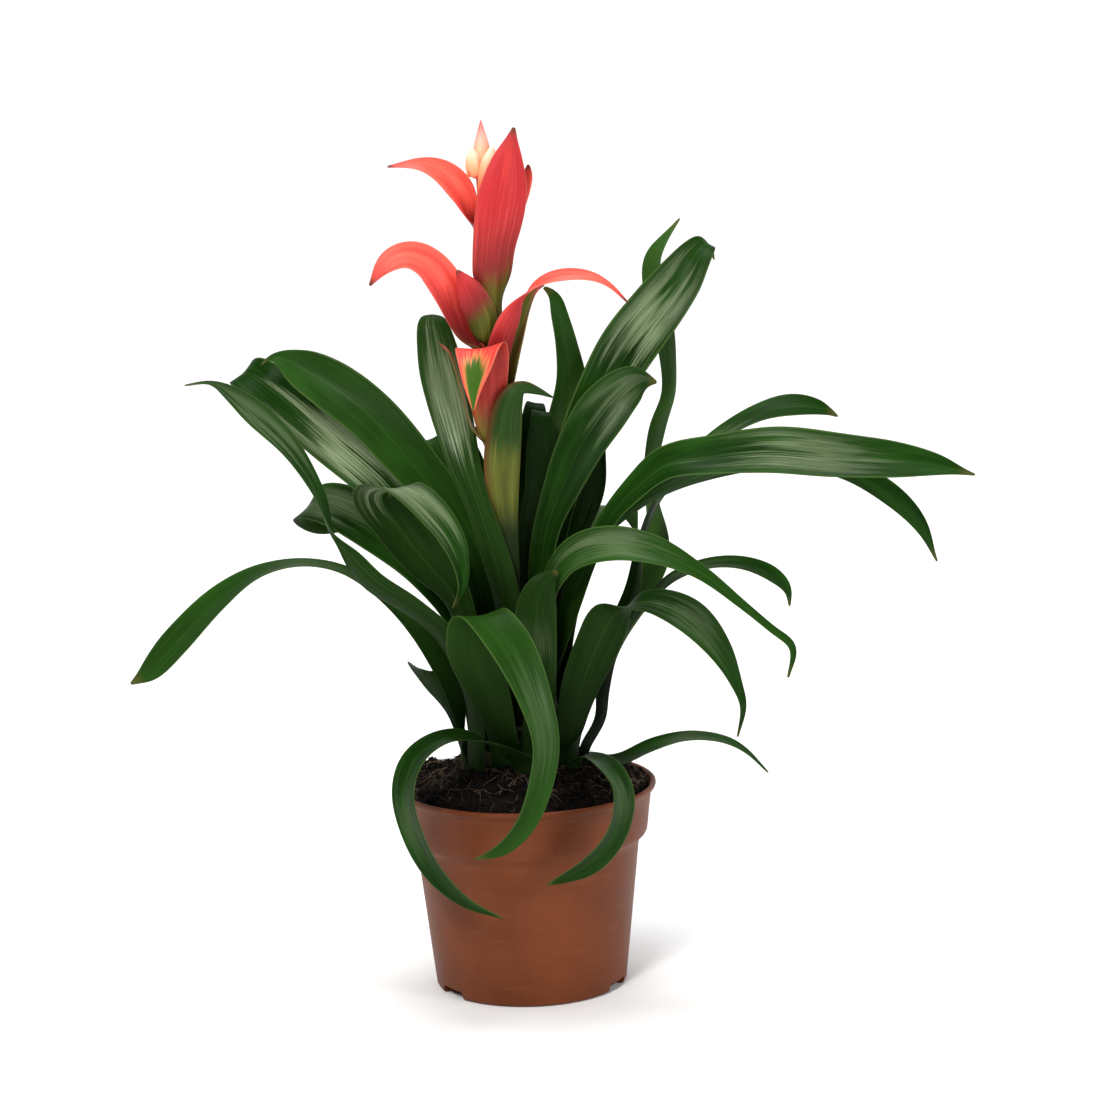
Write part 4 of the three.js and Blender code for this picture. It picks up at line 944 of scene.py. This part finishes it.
# %% Bracts
BRACT_SHAPE = {"channel": 0.12, "base": 5.5, "lead": 5, "flesh": 0.85}
FOOT_GAP = 0.9
GREEN_FOOT = {"bract_front_upright": 0.22, "bract_middle_front": 0.52, "bract_right_arch": 0.10,
              "bract_middle_left": 0.12, "bract_right_back": 0.95, "bract_upper_left": -0.05,
              "bract_right_crumpled": -0.4, "bract_narrow_left": 0.9}
# How far each bract leans from red to coral: partly its own colour, partly painted light where it catches
# the light.
CORAL = {"bract_upper_left": 0.3, "bract_middle_left": -0.1, "bract_right_arch": 0.1,
         "bract_right_crumpled": 1.5, "bract_front_upright": -0.5, "bract_middle_front": -0.5}
OWN_FINISH = {"bract_front_folded": flap_finish, "bract_leaf_front": leafy_finish}
made_faces = 0
for name, height, azimuth, route in BRACTS:
    angle = math.radians(azimuth)
    radius = stalk_radius(height) + FOOT_GAP
    foot = Vector((stalk_x(height) + radius * math.cos(angle), radius * math.sin(angle), height))
    sheath = {"reach": 30.0, "width": 12.5, "radius": radius + 0.6}
    finish, slot = OWN_FINISH.get(name, bract_finish), "bract"
    if name.startswith("head"):
        sheath = {"reach": 60.0, "width": 10.5, "radius": radius + 0.9}
        finish, slot = head_finish, "head_bract"
    made_faces += blade_piece(name, foot, azimuth, route, BRACT_SHAPE, sheath, finish, slot, {
        "tone": random.Random(name + " shade").uniform(-1.0, 1.0), "coral": CORAL.get(name, 0.3),
        "green_foot": GREEN_FOOT.get(name, 0.15)})
print("bract faces before smoothing:", made_faces)

# %% [markdown]
# ## The stalk and the bud
#
# The stalk is a fleshy rod that leans a little, with low rings where bracts are joined. It starts as a
# cylinder that is cut across into short lengths, so that it can swell at each ring. The bud is an egg
# drawn out to a point, with three shallow creases where its petals are furled.

# %% Stalk finish
skin = Finish("stalk_finish", {"Coat Weight": 0.05, "Coat Roughness": 0.4})
fibre = skin.noise((900.0, 900.0, 40.0), 3.0)
skin.body = skin.colour(skin.mask(fibre, 0.3, 0.7), (0.028, 0.045, 0.008), (0.055, 0.080, 0.015))
skin.tint(skin.mask(skin.plus(skin.height(), skin.times(fibre, 0.03)), 0.27, 0.35), (0.50, 0.055, 0.035))
stalk_finish = skin.done(skin.plus(0.35, skin.times(fibre, 0.25)), fibre, 0.3, 0.0004)

# %% Stalk
STALK_CUTS = 60
RING_SPACING = 17.0
RING_SWELL = 0.07
CLEAR_OF_BRACTS = 0.15
clear_selection()
bpy.ops.mesh.primitive_cylinder_add(vertices=24, radius=1.0, depth=1.0, location=(0.0, 0.0, 0.5))
stalk = new_piece("stalk")
settle(stalk)
for cut in range(1, STALK_CUTS):
    bpy.ops.object.mode_set(mode="EDIT")
    bpy.ops.mesh.select_all(action="SELECT")
    bpy.ops.mesh.bisect(plane_co=(0.0, 0.0, cut / STALK_CUTS), plane_no=(0.0, 0.0, 1.0))
    bpy.ops.object.mode_set(mode="OBJECT")
for vertex in stalk.data.vertices:
    height = mix(STALK_FOOT, STALK_TOP, vertex.co.z)
    swell = 1.0 + RING_SWELL * max(0.0, math.cos(height * 2.0 * math.pi / RING_SPACING)) ** 6
    radius = (stalk_radius(height) - CLEAR_OF_BRACTS) * swell
    vertex.co = Vector((stalk_x(height) + radius * vertex.co.x, radius * vertex.co.y, height)) * MM
finish_piece(stalk, "stalk", stalk_finish, "stalk")
print("stalk vertices:", len(stalk.data.vertices))

# %% Bud
BUD_FOOT = STALK_TOP + 0.5
BUD_LENGTH = 27.0
BUD_RADII = (2.4, 3.5, 4.15, 3.95, 2.9, 1.5, 0.25)
CREASE_DEPTH = 0.06
clear_selection()
bpy.ops.mesh.primitive_uv_sphere_add(segments=36, ring_count=28, radius=1.0)
bud = new_piece("bud")
runs = []
for vertex in bud.data.vertices:
    part = min(max(vertex.co.z * 0.5 + 0.5, 0.0), 1.0)
    around = math.atan2(vertex.co.y, vertex.co.x)
    closing = min(math.hypot(vertex.co.x, vertex.co.y) * 2.6, 1.0)
    crease = 1.0 - CREASE_DEPTH * math.cos(3.0 * around + 4.0 * part) ** 8
    radius = curve_number(BUD_RADII, part) * closing * crease
    vertex.co = Vector((stalk_x(STALK_TOP) + radius * math.cos(around), radius * math.sin(around),
                        BUD_FOOT + BUD_LENGTH * part)) * MM
    runs.append(part)
keep_values(bud.data, "run", runs)
keep_values(bud.data, "tone", [0.4] * len(runs))
finish_piece(bud, "bud", bud_finish, "bud")
print("bud vertices:", len(bud.data.vertices))

# %% [markdown]
# ## The pot
#
# The nursery pot is thin moulded plastic. Its wall is drawn as a profile and spun round the axis, which
# is how a lathe or a mould's core would make it: a tapered side, a step out to the collar, and a thin
# flared lip. Three drainage notches are then cut into the bottom edge.

# %% Pot finish
plastic = Finish("pot_finish", {"Specular IOR Level": 0.18})
cloud = plastic.noise(26.0, 4.0, 0.55)
grain = plastic.noise(900.0, 2.0)
smear = plastic.noise((60.0, 60.0, 420.0), 3.0)
plastic.body = plastic.colour(plastic.mask(cloud, 0.3, 0.7), (0.112, 0.0255, 0.0056), (0.146, 0.035, 0.0086))
plastic.tint(plastic.mask(smear, 0.5, 0.75), (0.180, 0.052, 0.016), 0.3)
plastic.tint(plastic.mask(grain, 0.62, 0.8), (0.085, 0.023, 0.008), 0.3)
dust = plastic.times(plastic.mask(plastic.height(), 0.088, 0.1025), plastic.mask(cloud, 0.42, 0.66))
plastic.tint(dust, (0.055, 0.030, 0.018), 0.35)
relief = plastic.plus(plastic.times(smear, 0.5), plastic.times(grain, 0.5))
pot_finish = plastic.done(plastic.plus(0.42, plastic.times(cloud, 0.2)), relief, 0.18, 0.0004)

# %% Spinning a profile
def draw_profile(node, profile):
    """A ring of points laid along a profile of radius and height in millimetres, in edit mode."""
    clear_selection()
    bpy.ops.mesh.primitive_circle_add(vertices=len(profile), radius=1.0, fill_type="NOTHING")
    piece = new_piece(node)
    for vertex, (radius, height) in zip(piece.data.vertices, profile):
        vertex.co = Vector((radius, 0.0, height)) * MM
    bpy.ops.object.mode_set(mode="EDIT")
    return piece


def spin_profile(steps, merge):
    bpy.ops.mesh.select_all(action="SELECT")
    bpy.ops.mesh.spin(steps=steps, angle=2.0 * math.pi, center=(0.0, 0.0, 0.0), axis=(0.0, 0.0, 1.0))
    bpy.ops.mesh.select_all(action="SELECT")
    bpy.ops.mesh.remove_doubles(threshold=merge)


print("profile helpers ready")

# %% Pot
POT_STEPS = 144
POT_PROFILE = (
    (0.0, 0.0), (40.0, 0.0), (46.2, 0.0), (47.3, 0.5), (47.9, 1.6), (50.2, 22.0), (53.0, 47.0),
    (55.6, 70.4), (56.1, 72.6), (57.0, 74.4), (59.4, 76.6), (60.1, 78.0), (60.5, 81.0), (61.4, 89.0),
    (62.5, 97.6), (63.3, 98.8), (64.5, 99.7), (64.9, 100.8), (64.8, 101.8), (64.2, 102.3), (63.3, 102.3),
    (62.4, 101.6), (61.4, 99.0), (59.9, 88.0), (58.9, 79.4), (57.2, 76.4), (54.6, 73.6), (46.4, 1.7),
    (0.0, 1.7))
pot = draw_profile("pot", POT_PROFILE)
spin_profile(POT_STEPS, 1e-6)
bpy.ops.mesh.dissolve_degenerate(threshold=1e-7)
bpy.ops.mesh.normals_make_consistent(inside=False)
bpy.ops.object.mode_set(mode="OBJECT")
print("pot vertices:", len(pot.data.vertices))

# %% Drainage notches
NOTCH_ANGLES = (-146, -26, 94)
NOTCH_SIZE = (10, 17, 8.4)
NOTCH_OUT = 47.5
NOTCH_ROUNDING = 1.6
for notch in NOTCH_ANGLES:
    clear_selection()
    bpy.ops.mesh.primitive_cube_add(size=1.0)
    cutter = bpy.context.object
    cutter.dimensions = tuple(side * MM for side in NOTCH_SIZE)
    cutter.location = (NOTCH_OUT * MM, 0.0, 0.0)
    settle(cutter)
    cutter.rotation_euler = (0.0, 0.0, math.radians(notch))
    settle(cutter)
    add_modifier(cutter, "BEVEL", width=NOTCH_ROUNDING * MM, segments=3)
    add_modifier(pot, "BOOLEAN", operation="DIFFERENCE", object=cutter, solver="EXACT")
    bpy.data.objects.remove(cutter)
finish_piece(pot, "pot", pot_finish, "pot")
smooth_below(pot, 38)
print("pot faces:", len(pot.data.polygons))

# %% [markdown]
# ## The peat
#
# The pot is filled with dark peat, mounded towards the plant. Its top is a fine web of rings and spokes,
# pushed up and down into lumps. Loose crumbs and pale root fibres lie on it, with more of them near the
# rim at the left and the right, where the peat was pushed aside.

# %% Peat finish
peat = Finish("soil_finish", {"Specular IOR Level": 0.06})
lump = peat.noise(320.0, 6.0, 0.7)
cell = peat.add("TexVoronoi", {"Vector": peat.place(), "Scale": 520.0}).outputs["Distance"]
peat.body = peat.colour(peat.mask(lump, 0.35, 0.7), (0.0014, 0.0012, 0.0010), (0.0085, 0.0060, 0.0044))
peat.tint(peat.mask(peat.noise(60.0, 3.0), 0.5, 0.7), (0.015, 0.0095, 0.0060), 0.4)
soil_finish = peat.done(peat.plus(0.62, peat.times(lump, 0.35)), peat.plus(lump, peat.times(cell, 0.6)),
                        0.9, 0.0012)

# %% Lie of the peat
MOUND_TOP, MOUND_EDGE = 108.6, 100.4
MOUND_RADIUS, MOUND_FALL = 33.5, 27.7
COLLAR_RADIUS, COLLAR_WIDTH, COLLAR_RISE = 31.0, 7.0, 5.0
HEAPS = ((-50.0, 12.0, 90.0, 5.0), (48.0, -4.0, 70.0, 4.0))


def peat_height(x, y):
    """Height of the peat in millimetres: a mound, with lumps, and two heaps near the rim."""
    radius = math.hypot(x, y)
    part = min(max((radius - MOUND_RADIUS) / MOUND_FALL, 0.0), 1.0)
    level = mix(MOUND_TOP, MOUND_EDGE, part * part)
    level += 1.0 * ground_noise(0.16 * x, 0.16 * y) + 0.7 * ground_noise(0.45 * x, 0.45 * y, 3.0)
    level += 0.45 * ground_noise(1.3 * x, 1.2 * y, 7.0)
    level += COLLAR_RISE * math.exp(-(max(radius - COLLAR_RADIUS, 0.0) / COLLAR_WIDTH) ** 2)
    for heap_x, heap_y, spread, rise in HEAPS:
        level += rise * math.exp(-((x - heap_x) ** 2 + (y - heap_y) ** 2) / spread)
    return level


print("peat at the left heap:", round(peat_height(*HEAPS[0][:2]), 1), "mm")

# %% Peat body
SOIL_RINGS = 62
SOIL_SPOKES = 168
SOIL_RADIUS = 61.0
SOIL_SIDE = ((60.7, 97.5), (58.4, 79.6), (54.0, 73.8), (46.0, 2.4), (20.0, 2.2))
TOP_ABOVE = 99.0
soil = draw_profile("soil", [(SOIL_RADIUS * ring / SOIL_RINGS, 100.0) for ring in range(SOIL_RINGS + 1)]
                    + list(SOIL_SIDE))
edit = bmesh.from_edit_mesh(soil.data)
edit.verts.ensure_lookup_table()
ends = {edit.verts[0], edit.verts[len(edit.verts) - 1]}
for edge in list(edit.edges):
    if set(edge.verts) == ends:
        edit.edges.remove(edge)
bmesh.update_edit_mesh(soil.data)
spin_profile(SOIL_SPOKES, 1e-5)
bpy.ops.mesh.fill_holes(sides=0)
bpy.ops.mesh.normals_make_consistent(inside=False)
bpy.ops.object.mode_set(mode="OBJECT")
for vertex in soil.data.vertices:
    if vertex.co.z > TOP_ABOVE * MM:
        vertex.co.z = peat_height(vertex.co.x / MM, vertex.co.y / MM) * MM
finish_piece(soil, "soil", soil_finish, "soil")
print("peat vertices:", len(soil.data.vertices))

# %% Kinds of crumb
CRUMB_KINDS = 6
CRUMB_DENTS = 0.38
clear_selection()
bpy.ops.mesh.primitive_ico_sphere_add(subdivisions=2, radius=1.0)
crumb_source = bpy.context.object
crumb_faces = [tuple(face.vertices) for face in crumb_source.data.polygons]
crumb_kinds = [[p.co * (1.0 + CRUMB_DENTS * ground_noise(2.1 * p.co.x + kind, 2.3 * p.co.y, 1.9 * p.co.z))
                for p in crumb_source.data.vertices] for kind in range(CRUMB_KINDS)]
bpy.data.objects.remove(crumb_source)
print("kinds of crumb:", len(crumb_kinds))

# %% Crumbs of peat
CRUMB_COUNT = 1500
BIGGEST_CRUMB = 2.3
chance = random.Random("peat crumbs")
points, faces = [], []
for index in range(CRUMB_COUNT):
    spot = chance.random()
    angle = chance.uniform(0.0, 2.0 * math.pi)
    radius = 14.0 + 46.5 * math.sqrt(chance.random())
    if spot < 0.14:
        angle, radius = chance.gauss(2.9, 0.2), chance.uniform(48.0, 61.0)
    elif spot < 0.26:
        angle, radius = chance.gauss(-0.1, 0.22), chance.uniform(44.0, 61.0)
    size = min(chance.lognormvariate(-0.2, 0.45), BIGGEST_CRUMB)
    radius = min(radius, SOIL_RADIUS - size)
    x, y = radius * math.cos(angle), radius * math.sin(angle)
    centre = Vector((x, y, peat_height(x, y) + 0.25 * size))
    turn = Matrix.Rotation(chance.uniform(0.0, 6.28), 3, Vector((
        chance.uniform(-1.0, 1.0), chance.uniform(-1.0, 1.0), chance.uniform(0.1, 1.0))).normalized())
    start = len(points)
    points += [(centre + turn @ (p * size)) * MM for p in crumb_kinds[index % CRUMB_KINDS]]
    faces += [tuple(start + corner for corner in face) for face in crumb_faces]
finish_piece(mesh_piece("soil_crumbs", points, faces), "soil", soil_finish)
print("crumbs:", CRUMB_COUNT)

# %% [markdown]
# ## Root fibres
#
# Pale fibres and thin roots lie in the peat, and one root curls up in a loop by the rim at the right.
# Each is a short soft curve with a round section.

# %% Fibre finish
root = Finish("fibre_finish", {"Roughness": 0.8, "Specular IOR Level": 0.2})
stain = root.noise(140.0, 3.0)
root.feed(root.shader.inputs["Base Color"], root.colour(
    root.mask(stain, 0.35, 0.65), (0.018, 0.011, 0.007), (0.13, 0.092, 0.058)))
print("fibre finish made")

# %% Strands
FIBRE_SIDES = 5
points, faces = [], []


def add_strand(line, radii):
    """Rings of points round a line, and the faces between them, closed at both ends."""
    start = len(points)
    across = Vector((0.0, 0.0, 1.0))
    for index, (point, radius) in enumerate(zip(line, radii)):
        along = (line[min(index + 1, len(line) - 1)] - line[max(index - 1, 0)]).normalized()
        if abs(across.dot(along)) > 0.95:
            across = Vector((1.0, 0.0, 0.0))
        across = (across - across.dot(along) * along).normalized()
        other = along.cross(across)
        ring = len(points) - FIBRE_SIDES
        for corner in range(FIBRE_SIDES):
            angle = 2.0 * math.pi * corner / FIBRE_SIDES
            points.append((point + radius * (math.cos(angle) * across + math.sin(angle) * other)) * MM)
            if index:
                a, b = ring + corner, ring + (corner + 1) % FIBRE_SIDES
                faces.append((a, b, b + FIBRE_SIDES, a + FIBRE_SIDES))
    faces.append(tuple(reversed(range(start, start + FIBRE_SIDES))))
    faces.append(tuple(range(len(points) - FIBRE_SIDES, len(points))))


print("strand helper ready")

# %% Fibres
FIBRE_COUNT = 420
FIBRE_STEPS = 7
FIBRE_LIMIT = 60.0
chance = random.Random("root fibres")
for index in range(FIBRE_COUNT):
    angle = chance.uniform(0.0, 2.0 * math.pi)
    radius = chance.uniform(30.0, 58.0)
    if index % 4 < 2:
        angle = chance.gauss((-0.05, 2.95)[index % 4], 0.3)
        radius = chance.uniform(46.0, 58.0)
    heading = chance.uniform(0.0, 2.0 * math.pi)
    bend = chance.uniform(-0.5, 0.5)
    length = chance.uniform(4.0, 16.0)
    x, y = radius * math.cos(angle), radius * math.sin(angle)
    hop = chance.uniform(0.6, 2.8)
    line = []
    for step in range(FIBRE_STEPS):
        if math.hypot(x, y) > FIBRE_LIMIT:
            x, y = x * FIBRE_LIMIT / math.hypot(x, y), y * FIBRE_LIMIT / math.hypot(x, y)
        lift = hop * math.sin(math.pi * step / (FIBRE_STEPS - 1)) + 0.15
        line.append(Vector((x, y, peat_height(x, y) + lift)))
        heading += bend
        x += length / FIBRE_STEPS * math.cos(heading)
        y += length / FIBRE_STEPS * math.sin(heading)
    add_strand(line, [chance.uniform(0.07, 0.15)] * FIBRE_STEPS)
print("fibres:", FIBRE_COUNT)

# %% Root loop
LOOP_X, LOOP_Y, LOOP_Z = 50.0, -2.0, 108.0
LOOP_STEPS = 24
LOOP_ROUNDS = 1.15
LOOP_THICKNESS = 0.32
line = []
for step in range(LOOP_STEPS + 1):
    turn = 0.5 + 2.0 * math.pi * LOOP_ROUNDS * step / LOOP_STEPS
    line.append(Vector((LOOP_X + 4.2 * math.cos(turn), LOOP_Y + 1.6 * math.sin(turn * 0.7),
                        LOOP_Z + 3.6 * math.sin(turn))))
add_strand(line, [LOOP_THICKNESS] * len(line))
finish_piece(mesh_piece("soil_fibres", points, faces), "soil", root.material)
print("strand faces:", len(faces))

# %% [markdown]
# ## The stem
#
# The stem is short and hidden among the feet of the leaves. It is a low cylinder whose top is inset and
# raised once for each tier, so it keeps its steps, with the dull olive and brown of old leaf bases.

# %% Stem finish
bark = Finish("stem_finish", {"Specular IOR Level": 0.25})
fibre = bark.noise((420.0, 420.0, 60.0), 4.0)
bark.body = bark.colour(bark.mask(fibre, 0.35, 0.7), (0.016, 0.016, 0.007), (0.060, 0.058, 0.022))
stem_finish = bark.done(bark.plus(0.55, bark.times(fibre, 0.3)), fibre, 0.6, 0.001)

# %% Stem
STEM_RADIUS, STEM_LOW, STEM_MIDDLE = 33.3, 11.4, 102.1
TIER_INSET = 5.0
clear_selection()
bpy.ops.mesh.primitive_cylinder_add(vertices=72, radius=STEM_RADIUS * MM, depth=STEM_LOW * MM,
                                    location=(0.0, 0.0, STEM_MIDDLE * MM))
stem = new_piece("stem")
settle(stem)
for tier in range(1, len(TIER_RADII)):
    bpy.ops.object.mode_set(mode="EDIT")
    bpy.ops.mesh.select_mode(type="FACE")
    bpy.ops.mesh.select_all(action="DESELECT")
    edit = bmesh.from_edit_mesh(stem.data)
    top = max(edit.faces, key=lambda face: face.calc_center_median().z)
    top.select = True
    bmesh.update_edit_mesh(stem.data)
    bpy.ops.mesh.inset(thickness=TIER_INSET * MM)
    bpy.ops.mesh.extrude_region_move(TRANSFORM_OT_translate={"value": (0.0, 0.0, TIER_RISE * MM)})
    bpy.ops.object.mode_set(mode="OBJECT")
finish_piece(stem, "stem", stem_finish, "stem")
smooth_below(stem, 40)
print("stem faces:", len(stem.data.polygons))

# %% [markdown]
# ## Floor and light
#
# The plant stands on a plain white floor that curves up into a wall all round, so there is no horizon
# from any side. A broad lamp hangs above, a soft key lamp shines from the upper left front, and a weaker
# one from the right. One more lights the wall behind. The surroundings are dim, so that the leaves stay
# dark between their highlights.

# %% Floor
SWEEP_FLAT, SWEEP_BEND, SWEEP_HEIGHT = 3.0, 1.6, 2.6
SWEEP_CELLS = 90
BELOW_POT = 0.0002
clear_selection()
bpy.ops.mesh.primitive_grid_add(x_subdivisions=SWEEP_CELLS, y_subdivisions=SWEEP_CELLS, size=2.0)
floor = bpy.context.object
floor.name = "floor"
quarter = SWEEP_BEND * math.pi / 2.0
for vertex in floor.data.vertices:
    heading = math.atan2(vertex.co.y, vertex.co.x)
    way = max(abs(vertex.co.x), abs(vertex.co.y)) * (SWEEP_FLAT + quarter + SWEEP_HEIGHT)
    bend = min(max(way - SWEEP_FLAT, 0.0) / SWEEP_BEND, math.pi / 2.0)
    reach = min(way, SWEEP_FLAT) + SWEEP_BEND * math.sin(bend)
    height = SWEEP_BEND * (1.0 - math.cos(bend)) + max(way - SWEEP_FLAT - quarter, 0.0)
    vertex.co = on_circle(reach, heading, height - BELOW_POT)
shade_smooth(floor)
floor.data.materials.append(Finish("floor_finish", {
    "Base Color": (0.9, 0.9, 0.9), "Roughness": 0.95, "Specular IOR Level": 0.0}).material)
print("floor laid")

# %% Lights
def soft_light(name, at, target, size, power, tint):
    data = bpy.data.lights.new(name, "AREA")
    data.shape = "DISK"
    data.size = size
    data.energy = power
    data.color = tint
    light = bpy.data.objects.new(name, data)
    bpy.context.collection.objects.link(light)
    light.location = at
    light.rotation_euler = (Vector(target) - Vector(at)).to_track_quat("-Z", "Y").to_euler()


PLANT_MIDDLE = (0.0, 0.0, 0.22)
WHITE = (1.0, 1.0, 1.0)
SURROUNDINGS = 0.07
soft_light("top", (0.0, 0.3, 3.2), (0.0, 0.3, 0.0), 2.4, 74.0, WHITE)
soft_light("key", (-0.6, -1.7, 1.6), PLANT_MIDDLE, 0.6, 38.0, (1.0, 0.98, 0.95))
soft_light("fill", (1.7, -1.3, 1.0), PLANT_MIDDLE, 0.8, 17.0, (0.97, 0.98, 1.0))
soft_light("wall", (0.0, 1.0, 3.6), (0.0, 4.2, 1.4), 1.8, 90.0, WHITE)
world = bpy.data.worlds.new("studio")
bpy.context.scene.world = world
world.use_nodes = True
backdrop = world.node_tree.nodes["Background"]
backdrop.inputs["Color"].default_value = (*WHITE, 1.0)
backdrop.inputs["Strength"].default_value = SURROUNDINGS
bpy.context.scene.view_settings.view_transform = "Standard"
print("lights set")
